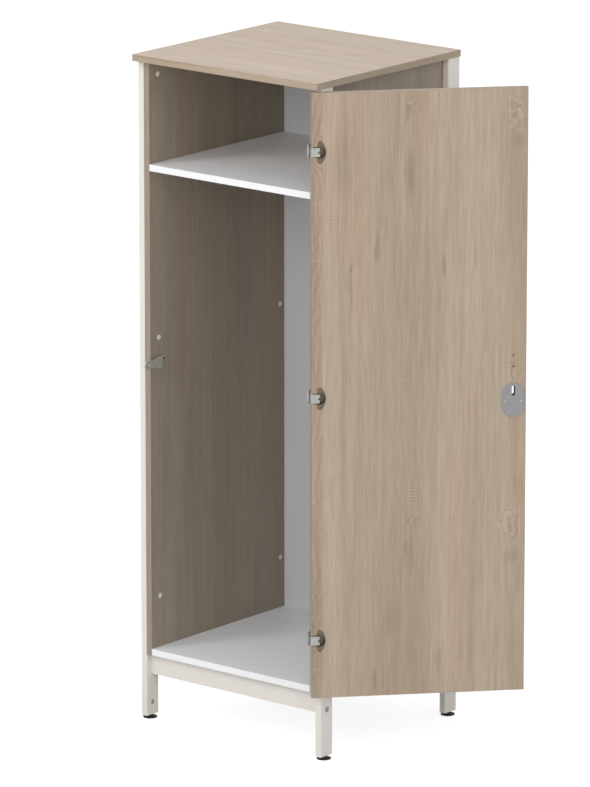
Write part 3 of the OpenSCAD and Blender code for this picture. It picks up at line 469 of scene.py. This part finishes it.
def paintedSlotShadeFinish():  # painted shade: the walls of the slot that runs through the door, coloured near-black for the shade inside it
    finish = Finish("paintedSlotShade")
    x, y, z = finish.place()
    shadeMottle = finish.noise(x * 300, y * 300, z * 300, 3.0)
    # the walls mottle between two near-black colours as painted shade
    tint = finish.mix(shadeMottle, paint(16, 14, 12), paint(38, 33, 28))
    return finish.surface(tint, 0.9, finish.bump(shadeMottle, 0.3, 0.0003))


finishes = {
    "oakDoor": oakFinish("oakDoor", figured=True),
    "oakSideShaded": oakFinish("oakSideShaded"),
    "oakTop": oakFinish("oakTop"),
    "oakEdgeShaded": oakFinish("oakEdgeShaded"),
    "whiteFace": laminateFinish("whiteBoard", white["face"]),
    "whiteBackShaded": laminateFinish("whiteBackShaded", white["back"]),
    "whiteEdge": laminateFinish("whiteEdge", white["edge"]),
    "core": coreFinish(),
    # painted shade for the walls of the door's slot
    "slotShadeCoat": paintedSlotShadeFinish(),
    "paint": paintFinish(),
    # metals: name, colour, tarnish, roughness, how brushed, how metallic
    "zinc": metalFinish("zincPlate", paint(186, 186, 182), paint(160, 160, 155), 0.48, 1.0, 0.6),
    "satin": metalFinish("satinSteel", paint(141, 140, 143), paint(135, 134, 137), 0.55, 0.5, 0.3),
    "arm": metalFinish("armZinc", paint(167, 166, 163), paint(143, 142, 138), 0.48, 1.0, 0.6),
    # the leaves' zinc is darker than the plain zinc, as painted shade where they sit behind the door's edge
    "leaf": metalFinish("leafZincShaded", paint(150, 149, 146), paint(124, 123, 120), 0.5, 1.0, 0.6),
    "bronze": metalFinish("darkBronze", paint(105, 94, 81), paint(84, 75, 64), 0.48, 1.0, 0.6),
    "bronzeScrew": metalFinish("bronzeScrew", paint(128, 112, 95), paint(92, 79, 66), 0.42, 1.0, 0.7),
    "hasp": metalFinish("dullZinc", paint(176, 176, 163), paint(146, 145, 132), 0.5, 0.7, 0.4),
    # painted shade: a dark steel for the sunk drives and for the screws that sit in dark holes
    "paintedShadeSteel": metalFinish("paintedShadeSteel", paint(96, 90, 82), paint(62, 57, 51), 0.45, 1.0, 0.7),
    # plastics: name, colour, dusty colour, roughness
    "black": plasticFinish("blackPlastic", paint(13, 13, 13), paint(26, 25, 24), 0.68),
    "cap": plasticFinish("capPlastic", paint(226, 223, 217), paint(206, 201, 192), 0.45),
    "plug": plasticFinish("greyPlastic", paint(155, 153, 148), paint(134, 132, 127), 0.5),
    "dowel": dowelFinish(),
}
slotFinish = {"oak_board": "oakSideShaded", "white_board": "whiteFace", "dowel_wood": "dowel",
              "frame_paint": "paint", "zinc_steel": "zinc", "bronze_steel": "bronze", "hasp_steel": "hasp",
              "black_plastic": "black", "cap_plastic": "cap"}
# nodes whose finish isn't the plain one of their slot
ownFinish = {"lock_plate_inner": "satin", "lock_plate_outer": "satin", "hinge_leaf_top": "leaf",
             "hinge_leaf_middle": "leaf", "hinge_leaf_bottom": "leaf", "hinge_cup_screws": "bronzeScrew",
             "hinge_arm_top": "arm", "hinge_arm_middle": "arm", "hinge_arm_bottom": "arm",
             # the hasp's and the handle's screws are painted dark as the shade of their holes
             "hasp_screw": "paintedShadeSteel", "handle_screws": "paintedShadeSteel"}
print("finishes made:", len(finishes))

# Shared mesh steps

slotOf = {part["node"]: part["material_slot"] for part in frame["record"]["subparts"]}
bodyOf = {node: body for body, members in frame["record"]["behaviour"]["bodies"].items() for node in members}
shaping = {
    "weld": 0.00002, "seam": 0.000001,  # metres, for CAD meshes and for threads
    "flatAngle": 0.5, "flatWeight": 60, "sharpAngle": 40, "roundSteps": 2,
}


def cleanCopy(node, shut):  # a welded copy of a CAD node's mesh, and for the door's nodes with the door shut
    bm = bmesh.new()
    bm.from_mesh(nodes[node].data)
    if shut:
        bmesh.ops.transform(bm, matrix=swingShut, verts=bm.verts)
    bmesh.ops.remove_doubles(bm, verts=bm.verts, dist=shaping["weld"])
    flat = math.radians(shaping["flatAngle"])
    bmesh.ops.dissolve_limit(bm, angle_limit=flat, verts=bm.verts, edges=bm.edges)
    for layer in list(bm.loops.layers.uv.values()):
        bm.loops.layers.uv.remove(layer)
    return bm


def addPiece(name, bm):
    return addObject(name, meshOf(name, bm))


def corners(points):  # the low and the high corner of the box round a list of points
    return [Vector([pick(point[i] for point in points) for i in range(3)]) for pick in (min, max)]


def shadeByAngle(mesh, degrees):
    custom = mesh.attributes.get("custom_normal")
    if custom:
        mesh.attributes.remove(custom)
    mesh.shade_smooth()
    mesh.set_sharp_from_angle(angle=math.radians(degrees))


def evenShading(piece):  # large flat faces keep their own direction beside a rounded edge
    weigh = piece.modifiers.new("evenShading", "WEIGHTED_NORMAL")
    weigh.mode = "FACE_AREA"
    weigh.weight = shaping["flatWeight"]
    weigh.keep_sharp = True


def settle(piece, body, finish, replaced, shut=False, angle=35):
    if shut:
        piece.data.transform(swingOpen)
    shadeByAngle(piece.data, angle)
    evenShading(piece)
    if not piece.data.materials:
        piece.data.materials.append(finishes[finish])
    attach(piece, body)
    if replaced:
        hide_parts(*replaced)


# Boards

boards = {
    "bevel": 0.0007, "steps": 2, "touch": 0.00005, "rim": 0.001, "seed": 11,
    "slot": (-0.2595, 1.036, 0.007, 0.016),  # the hasp's slot in the shut door: x, z, half width, half height
    # name, node, grain along, body, finishes of the faces, the holes, the narrow faces and the hasp's slot
    "list": [("doorBoard", "door_panel", 2, "door", ("oakDoor", "core", "oakDoor", "slotShadeCoat")),
             ("leftBoard", "left_side_panel", 2, "carcass", ("oakSideShaded", "core", "oakSideShaded")),
             ("rightBoard", "right_side_panel", 2, "carcass", ("oakSideShaded", "core", "oakSideShaded")),
             ("topBoard", "top_panel", 0, "carcass", ("oakTop", "core", "oakEdgeShaded")),
             ("shelfBoard", "shelf", 0, "carcass", ("whiteFace", "core", "whiteEdge")),
             ("floorBoard", "bottom_board", 0, "carcass", ("whiteFace", "core", "whiteEdge")),
             ("backBoard", "back_panel", 2, "carcass", ("whiteBackShaded", "core", "whiteEdge"))],
}


def mainAxis(direction):  # the axis that a direction is nearest to
    return max(range(3), key=lambda i: abs(direction[i]))


def onBorder(point, low, high, axis, side):
    return abs(point[axis] - (high if side else low)[axis]) < boards["touch"]


def boardMesh(node, shut):
    bm = cleanCopy(node, shut)
    low, high = corners([vert.co for vert in bm.verts])
    rims = []
    for edge in bm.edges:
        planes = sum(1 for axis in range(3) for side in (0, 1)
                     if all(onBorder(vert.co, low, high, axis, side) for vert in edge.verts))
        if planes == 2:
            rims.append(edge)
    bmesh.ops.bevel(bm, geom=rims, offset=boards["bevel"], segments=boards["steps"], profile=0.6,
                    affect="EDGES", clamp_overlap=True)
    return bm, low, high


def mapBoard(bm, low, high, grainAxis, seed):
    # Grain maps in metres: u across the grain, v along it; rim and half say how far the border is
    grain = bm.loops.layers.uv.new("grain")
    rim = bm.loops.layers.uv.new("rim")
    half = bm.loops.layers.uv.new("half")
    middle = (low + high) / 2
    reach = (high - low) / 2
    picker = random.Random(seed)
    shift = {(axis, side): (picker.uniform(-4, 4), picker.uniform(-4, 4))
             for axis in range(3) for side in (-1, 1)}
    shift[(1, 1)] = (0.0, 0.0)  # the door's own figure lies on this side, by the door's middle
    for face in bm.faces:
        axis = mainAxis(face.normal)
        side = 1 if face.normal[axis] > 0 else -1
        plane = [i for i in range(3) if i != axis]
        along = grainAxis if grainAxis in plane else max(plane, key=lambda i: reach[i])
        across = [i for i in plane if i != along][0]
        du, dv = shift[(axis, side)]
        centre = face.calc_center_median()
        outer = any(onBorder(centre, low, high, axis, end) for end in (0, 1))
        nearRim = sum(1 for i in range(3) if abs(abs(centre[i] - middle[i]) - reach[i]) < boards["rim"])
        face.material_index = 0 if outer or nearRim >= 2 else 1
        for loop in face.loops:
            place = loop.vert.co - middle
            loop[grain].uv = (place[across] + du, place[along] + dv)
            loop[rim].uv = (place[across], place[along])
            loop[half].uv = (reach[across], reach[along])


def addBoard(name, node, grainAxis, body, coats, seed):
    shut = body == "door"
    bm, low, high = boardMesh(node, shut)
    mapBoard(bm, low, high, grainAxis, seed)
    reach = high - low
    thin = min(range(3), key=lambda i: reach[i])
    slotX, slotZ, halfX, halfZ = boards["slot"]
    for face in bm.faces:
        centre = face.calc_center_median()
        inSlot = abs(centre.x - slotX) < halfX and abs(centre.z - slotZ) < halfZ
        if face.material_index == 0 and mainAxis(face.normal) != thin:
            face.material_index = 2
        elif face.material_index == 1 and shut and inSlot:
            face.material_index = 3
    piece = addPiece(name, bm)
    for coat in coats:
        piece.data.materials.append(finishes[coat])
    settle(piece, body, coats[0], [node], shut, angle=20)


for seed, (name, node, axis, body, coats) in enumerate(boards["list"], boards["seed"]):
    addBoard(name, node, axis, body, coats, seed)
print("boards made:", len(boards["list"]))

# Pieces that keep the CAD's form and gain rounded edges

pressed = {  # how a node's name starts, and the radius of its edges in metres
    "hinge_cup": 0.00035, "hinge_arm": 0.0004, "hinge_leaf": 0.0003, "lock_plate": 0.0005, "hasp": 0.0006,
    "rail_socket": 0.0006, "front_stretcher": 0.0006, "rear_stretcher": 0.0006, "post_front": 0.0005,
    "post_rear": 0.0005, "stretcher_bolts": 0.0003, "back_screws": 0.0003, "cam_housings": 0.0003,
    "panel_nuts": 0.0004, "stretcher_plugs": 0.0004, "hanging_rail": 0.0004,
}


def roundEdges(bm, width):
    angle = math.radians(shaping["sharpAngle"])
    sharp = [edge for edge in bm.edges if edge.is_manifold and edge.calc_face_angle(0) > angle]
    bmesh.ops.bevel(bm, geom=sharp, offset=width, segments=shaping["roundSteps"], profile=0.5,
                    affect="EDGES", clamp_overlap=True)


def coatOf(node):
    return ownFinish.get(node, slotFinish[slotOf[node]])


def addPressed(node, kind):
    shut = bodyOf[node] == "door"
    bm = cleanCopy(node, shut)
    roundEdges(bm, pressed[kind])
    settle(addPiece(node + "_piece", bm), bodyOf[node], coatOf(node), [node], shut)


for node in nodes:
    kind = next((start for start in pressed if node.startswith(start)), None)
    if kind and (node == kind or "screw" not in node):  # the other screws are turned, further on
        addPressed(node, kind)
print("pressed pieces made")

# Turned pieces: profiles go round an axis that points from the tip to the head


def looseParts(node, shut):  # the points of each separate solid of a CAD node
    bm = cleanCopy(node, shut)
    waiting = set(bm.verts)
    found = []
    while waiting:
        stack = [waiting.pop()]
        island = []
        while stack:
            vert = stack.pop()
            island.append(vert.co.copy())
            for edge in vert.link_edges:
                other = edge.other_vert(vert)
                if other in waiting:
                    waiting.discard(other)
                    stack.append(other)
        found.append(island)
    bm.free()
    return sorted(found, key=lambda island: tuple(round(c, 4) for c in min(island, key=tuple)))


# How near a point has to be to a level, how much wider a head is than the other end at least, and how
# much of the widest reach still counts as head
measuring = {"level": 0.00003, "wider": 1.02, "headShare": 0.95}


def axisFrame(island, axis):  # where a turned part stands: tip point, way to the head, and its sizes
    low, high = corners(island)
    centre = (low + high) / 2
    across = [i for i in range(3) if i != axis]

    def reachAt(level):
        near = [point - centre for point in island if abs(point[axis] - level) < measuring["level"]]
        return max((Vector([offset[i] for i in across]).length for offset in near), default=0)

    levels = sorted({round(point[axis], 5) for point in island})
    reaches = [reachAt(level) for level in levels]
    way = 1
    if reaches[0] > reaches[-1] * measuring["wider"]:
        levels, reaches, way = levels[::-1], reaches[::-1], -1
    head = max(reaches)
    wide = head * measuring["headShare"]
    start = next(level for level, reach in zip(levels, reaches) if reach > wide)
    tip = centre.copy()
    tip[axis] = levels[0]
    direction = Vector((0, 0, 0))
    direction[axis] = way
    return {"tip": tip, "way": direction, "length": abs(levels[-1] - levels[0]), "shank": reaches[0],
            "head": head, "headAt": abs(start - levels[0])}


def ringRows(bm, rows, steps):  # joins rings of vertices, each row a list of points, and closes both ends
    rings = [[bm.verts.new(point) for point in row] for row in rows]
    for lower, upper in zip(rings, rings[1:]):
        for i in range(steps):
            j = (i + 1) % steps
            bm.faces.new((lower[i], lower[j], upper[j], upper[i]))
    bm.faces.new(rings[0][::-1])
    bm.faces.new(rings[-1])


def lathe(profile, steps):  # profile: radius and height from the bottom to the top
    bm = bmesh.new()
    circle = [(math.cos(math.tau * i / steps), math.sin(math.tau * i / steps)) for i in range(steps)]
    ringRows(bm, [[(r * c, r * s, h) for c, s in circle] for r, h in profile], steps)
    return bm


def threaded(bm, low, high, core, crest, pitch, steps=16):  # a helical ridge from low to high round a core
    reach = [core, core, crest, crest]  # over one pitch
    perTurn = len(reach)
    count = perTurn * (math.ceil((high - low) / pitch) + 2)
    columns = []
    for i in range(steps):
        column = []
        for j in range(count + 1):
            h = low + pitch * (j / perTurn + i / steps - 1)
            r = reach[j % perTurn] if low < h < high else core
            angle = math.tau * i / steps
            column.append(bm.verts.new((r * math.cos(angle), r * math.sin(angle), min(max(h, low), high))))
        columns.append(column)
    for i in range(steps):
        lift = perTurn if i == steps - 1 else 0
        left, right = columns[i], columns[(i + 1) % steps]
        for j in range(count - lift):
            bm.faces.new((left[j], right[j + lift], right[j + lift + 1], left[j + 1]))
    bm.faces.new([column[0] for column in columns][::-1])
    bm.faces.new([column[-1] for column in columns])
    bmesh.ops.remove_doubles(bm, verts=bm.verts, dist=shaping["seam"])
    bmesh.ops.dissolve_degenerate(bm, edges=bm.edges, dist=shaping["seam"])


# The cross drive: share of its span that an arm is wide to each side, how it narrows, how far the cutter
# stands over the head, in metres
drives = {"arm": 0.24, "taper": 0.55, "over": 0.0004}


def outline(span):  # a cross drive seen from above
    arm = span * drives["arm"]
    corner = [(span, -arm), (span, arm), (arm, arm)]
    turned = []
    for quarter in range(4):
        c, s = math.cos(math.radians(90 * quarter)), math.sin(math.radians(90 * quarter))
        turned += [(x * c - y * s, x * s + y * c) for x, y in corner]
    return turned


def cutDrive(mesh, span, top, depth):  # sinks a cross drive into the head of one mesh
    bm = bmesh.new()
    shape = outline(span)
    floor = [(x * drives["taper"], y * drives["taper"], top - depth) for x, y in shape]
    mouth = [(x, y, top + drives["over"]) for x, y in shape]
    ringRows(bm, [floor, mouth], len(shape))
    cutter = addObject("driveCutter", meshOf("driveCutter", bm))
    body = addObject("driveBody", mesh)
    cut = body.modifiers.new("drive", "BOOLEAN")
    cut.operation = "DIFFERENCE"
    cut.solver = "EXACT"
    cut.object = cutter
    result = bpy.data.meshes.new_from_object(body.evaluated_get(bpy.context.evaluated_depsgraph_get()))
    for polygon in result.polygons:  # the drive's walls and floor take a darker finish, painted shade of the sunk drive
        deep = polygon.center.z < top - depth * 0.25 and math.hypot(*polygon.center.xy) < span * 0.98
        polygon.material_index = 1 if deep and polygon.normal.z > -0.5 else 0
    for item in (cutter, body):
        bpy.data.objects.remove(item)
    return result


def standOn(mesh, place):  # a copy of a mesh that points up, set where a measured part stands
    way = place["way"]
    side = Vector((0, 0, 1)) if abs(way.z) < 0.5 else Vector((1, 0, 0))
    turned = Matrix((side, way.cross(side), way)).transposed().to_4x4()
    copy = mesh.copy()
    copy.transform(Matrix.Translation(place["tip"]) @ turned)
    return copy


def joined(meshes):  # one bmesh of several meshes
    bm = bmesh.new()
    for mesh in meshes:
        bm.from_mesh(mesh)
    return bm


def placeAll(node, axis, maker, angle):  # one turned copy per solid of the node
    shut = bodyOf[node] == "door"
    made = {}
    copies = []
    for island in looseParts(node, shut):
        place = axisFrame(island, axis)
        key = tuple(round(place[part], 5) for part in ("length", "shank", "head", "headAt"))
        if key not in made:
            made[key] = maker(place)
        copies.append(standOn(made[key], place))
    piece = addPiece(node + "_piece", joined(copies))
    piece.data.materials.append(finishes[coatOf(node)])
    if any(polygon.material_index for polygon in piece.data.polygons):  # sunk drives take a darker finish as painted shade
        piece.data.materials.append(finishes["paintedShadeSteel"])
    settle(piece, bodyOf[node], coatOf(node), [node], shut, angle)


def asMesh(bm):
    bmesh.ops.recalc_face_normals(bm, faces=bm.faces)
    return meshOf("turned", bm)


screws = {
    # node: axis, share of the head's radius that the drive spans, thread pitch in metres
    "list": {"panel_screws": (0, 0.5, 0.0010), "rail_socket_screws": (0, 0.6, 0.0014),
             "hinge_leaf_screws": (0, 0.6, 0.0014), "hasp_screw": (0, 0.6, 0.0014),
             "hinge_cup_screws": (1, 0.6, 0.0014), "hinge_arm_screws": (1, 0.62, 0.0012),
             "lock_plate_screws": (1, 0.62, 0.0012), "handle_screws": (1, 0.62, 0.0010)},
    # shares of the head's radius and height, from its seat to the top
    "rise": [(1.0, 0.0), (1.0, 0.35), (0.93, 0.66), (0.76, 0.88), (0.5, 0.98), (0.2, 1.0)],
    # shares of the core's radius and of the tip's length
    "point": [(0.15, 0.0), (0.8, 0.8)],
    # shares of the core's radius, and how many shank radii below the head
    "neck": [(1.0, 0.82), (1.05, 0.3)], "neckTop": 1.1, "threadTop": 0.8,
    "threadDepth": 0.16, "crest": 0.995, "tipLength": 1.2, "driveDepth": 0.72, "overlap": 0.0001,
}


def screwMesh(place, share, pitch):
    shank, head, start = place["shank"], place["head"], place["headAt"]
    core = shank * (1 - screws["threadDepth"])
    tip = shank * screws["tipLength"]
    bm = bmesh.new()
    threaded(bm, tip, start - shank * screws["threadTop"], core, shank * screws["crest"], pitch)
    shaft = asMesh(bm)
    point = [(core * r, tip * h) for r, h in screws["point"]] + [(core, tip + pitch * 0.1)]
    neck = [(core * r, start - shank * below) for r, below in screws["neck"]]
    neck.append((core * screws["neckTop"], start + screws["overlap"]))
    rise = place["length"] - start
    top = asMesh(lathe([(head * r, start + rise * h) for r, h in screws["rise"]], 32))
    top = cutDrive(top, head * share, place["length"], rise * screws["driveDepth"])
    return asMesh(joined([shaft, asMesh(lathe(point, 16)), asMesh(lathe(neck, 16)), top]))


for node, (axis, share, pitch) in screws["list"].items():
    placeAll(node, axis, lambda place: screwMesh(place, share, pitch), 40)
print("screws made")

caps = {
    # shares of the cap's radius and of its rise, from the rim to the middle
    "dome": [(1.0, 0.0), (1.0, 0.25), (0.97, 0.5), (0.88, 0.74), (0.68, 0.9), (0.4, 0.98), (0.1, 1.0)],
}


def capMesh(place):
    head, plug, start = place["head"], place["shank"], place["headAt"]
    rise = place["length"] - start
    stub = [(plug * 0.9, 0), (plug, rise * 0.4), (plug, start)]
    return asMesh(lathe(stub + [(head * r, start + rise * h) for r, h in caps["dome"]], 40))


placeAll("screw_caps", 0, capMesh, 50)
print("screw caps made")

pins = {
    # shares of the head's radius and height; the head's height and the bar's radius are in metres
    "dome": [(1.0, 0.0), (1.0, 0.3), (0.9, 0.68), (0.66, 0.92), (0.25, 1.0)],
    "head": 0.001, "bar": 0.0025,
}


def pinMesh(place):
    length, head, rise = place["length"], place["head"], pins["head"]
    lower = [(head * r, rise * (1 - h)) for r, h in pins["dome"][::-1]]
    upper = [(head * r, length - rise * (1 - h)) for r, h in pins["dome"]]
    return asMesh(lathe(lower + [(pins["bar"], rise), (pins["bar"], length - rise)] + upper, 28))


placeAll("hinge_pins", 2, pinMesh, 50)
print("hinge pins made")

dowels = {"flutes": 12, "fluteDepth": 0.07, "chamfer": 0.001}


def dowelMesh(place):  # fluted, with chamfered ends
    length, radius, chamfer = place["length"], place["head"], dowels["chamfer"]
    low, high, narrow = chamfer, length - chamfer, radius - chamfer
    profile = [(narrow, 0), (radius, low), (radius, high), (narrow, length)]
    steps = dowels["flutes"] * 4
    rows = []
    for r, h in profile:
        ring = []
        for i in range(steps):
            angle = math.tau * i / steps
            reach = r * (1 - dowels["fluteDepth"] * (i % 4 == 0))
            ring.append((reach * math.cos(angle), reach * math.sin(angle), h))
        rows.append(ring)
    bm = bmesh.new()
    ringRows(bm, rows, steps)
    return asMesh(bm)


placeAll("dowels", 0, dowelMesh, 25)
print("dowels made")

# Grey blind plugs in the posts' holes, each ringed in black as painted shade of the gap round it; they lie
# just under the face

plugs = {
    # x of the post's face, way that the plug faces, y, z, radius of the hole
    "places": [(0.325, 1, 0.274, 0.1425, 0.008), (0.305, -1, 0.275, 0.046, 0.007)],
    # a black ring round the disc stands as painted shade of the gap; its width, height and rounded edge
    # follow
    "wall": 0.002, "clearance": 0.00005, "shadeRing": 0.0012, "shadeRingUp": 0.0010, "shadeRingEdge": (0.0002, 0.0001),
    "crown": 0.0019,
    # inset from the disc's edge, height above the wall's inner face
    "edge": [(0.0, 0.0013), (0.0001, 0.0016), (0.0003, 0.0018), (0.0007, 0.00185)],
}


def plugMesh(radius):
    outer, disc = radius - plugs["clearance"], radius - plugs["shadeRing"]
    shadeRingUp, (inward, down) = plugs["shadeRingUp"], plugs["shadeRingEdge"]
    body = [(outer, 0), (outer, shadeRingUp - down), (outer - inward, shadeRingUp), (disc, shadeRingUp)]
    edge = [(disc - inset, h) for inset, h in plugs["edge"]]
    mesh = asMesh(lathe(body + edge + [(disc * 0.3, plugs["crown"])], 40))
    for polygon in mesh.polygons:
        ring = math.hypot(*mesh.vertices[polygon.vertices[0]].co.xy) if len(polygon.vertices) == 4 else 0
        # the black ring round the disc is painted shade of the gap round the plug
        polygon.material_index = 1 if ring > disc + 0.00001 and polygon.center.z > 0 else 0
    return mesh


def addPlugs():
    copies = []
    for face, way, y, z, radius in plugs["places"]:
        mesh = plugMesh(radius)
        for side in (-1, 1):
            for end in (-1, 1):
                tip = Vector((side * (face - way * plugs["wall"]), end * y, z))
                copies.append(standOn(mesh, {"tip": tip, "way": Vector((side * way, 0, 0))}))
    piece = addPiece("postHolePlugs", joined(copies))
    piece.data.materials.append(finishes["plug"])
    # the black finish for the ring of painted shade
    piece.data.materials.append(finishes["black"])
    settle(piece, "carcass", "plug", [], angle=40)


addPlugs()
print("post plugs made")

feet = {
    # radius and height of the turned foot, in metres
    "profile": [(0.0150, 0.0), (0.0188, 0.0), (0.0196, 0.0003), (0.0200, 0.0009), (0.0200, 0.0022),
                (0.0197, 0.0028), (0.0190, 0.0030), (0.0136, 0.0030), (0.0130, 0.0034), (0.0092, 0.0085),
                (0.0084, 0.0094), (0.0078, 0.0097), (0.0040, 0.0097)],
    # the threaded stem: from and to, radii, pitch, and where its plain end stops
    "stem": (0.0096, 0.0376), "core": 0.0034, "crest": 0.00399, "pitch": 0.00125, "end": 0.038,
    "endTaper": 0.9, "overlap": 0.0001,
}


def addFoot(node):
    low, high = corners(looseParts(node, False)[0])
    base = asMesh(lathe(feet["profile"], 64))
    bottom, top = feet["stem"]
    core = feet["core"]
    bm = bmesh.new()
    threaded(bm, bottom, top, core, feet["crest"], feet["pitch"], 24)
    stem = asMesh(bm)
    end = asMesh(lathe([(core, top - feet["overlap"]), (core * feet["endTaper"], feet["end"])], 24))
    for mesh in (stem, end):
        for polygon in mesh.polygons:
            polygon.material_index = 1
    piece = addPiece(node + "_piece", joined([base, stem, end]))
    piece.data.transform(Matrix.Translation(((low.x + high.x) / 2, (low.y + high.y) / 2, low.z)))
    piece.data.materials.append(finishes["black"])
    piece.data.materials.append(finishes["zinc"])
    settle(piece, bodyOf[node], "black", [node])


for node in nodes:
    if node.startswith("foot_") and node != "foot_plugs":
        addFoot(node)
print("feet made")

handle = {"x": -0.2595, "face": -0.322, "reach": 0.023, "low": 1.1035, "high": 1.1355, "rod": 0.005,
          "bend": 0.010, "bendSteps": 10, "roundSteps": 24}


def handlePath():  # points of the rod's middle line, out of the door, round two bends and back
    face, bend, steps = handle["face"], handle["bend"], handle["bendSteps"]
    far = face - handle["reach"]
    points = [(face, handle["low"])]
    for z, start, end in ((handle["low"] + bend, 270, 180), (handle["high"] - bend, 180, 90)):
        for i in range(steps + 1):
            angle = math.radians(start + (end - start) * i / steps)
            points.append((far + bend + bend * math.cos(angle), z + bend * math.sin(angle)))
    points.append((face, handle["high"]))
    return [Vector((handle["x"], y, z)) for y, z in points]


def addHandle():
    points = handlePath()
    rows = []
    sideways = Vector((1, 0, 0))
    last = len(points) - 1
    for i, point in enumerate(points):
        ahead = (points[min(i + 1, last)] - points[max(i - 1, 0)]).normalized()
        other = ahead.cross(sideways)
        ring = []
        for step in range(handle["roundSteps"]):
            angle = math.tau * step / handle["roundSteps"]
            ring.append(point + (sideways * math.cos(angle) + other * math.sin(angle)) * handle["rod"])
        rows.append(ring)
    bm = bmesh.new()
    ringRows(bm, rows, handle["roundSteps"])
    bmesh.ops.recalc_face_normals(bm, faces=bm.faces)
    piece = addPiece("handleRod", bm)
    node = "door_handle"
    settle(piece, "door", coatOf(node), [node], shut=True, angle=50)


addHandle()
print("handle made")

# Each CAD node takes the finish of its slot or its own, and those not replaced show it

for node, piece in nodes.items():
    piece.data.materials.clear()
    piece.data.materials.append(finishes[coatOf(node)])
print("finishes given to the nodes")
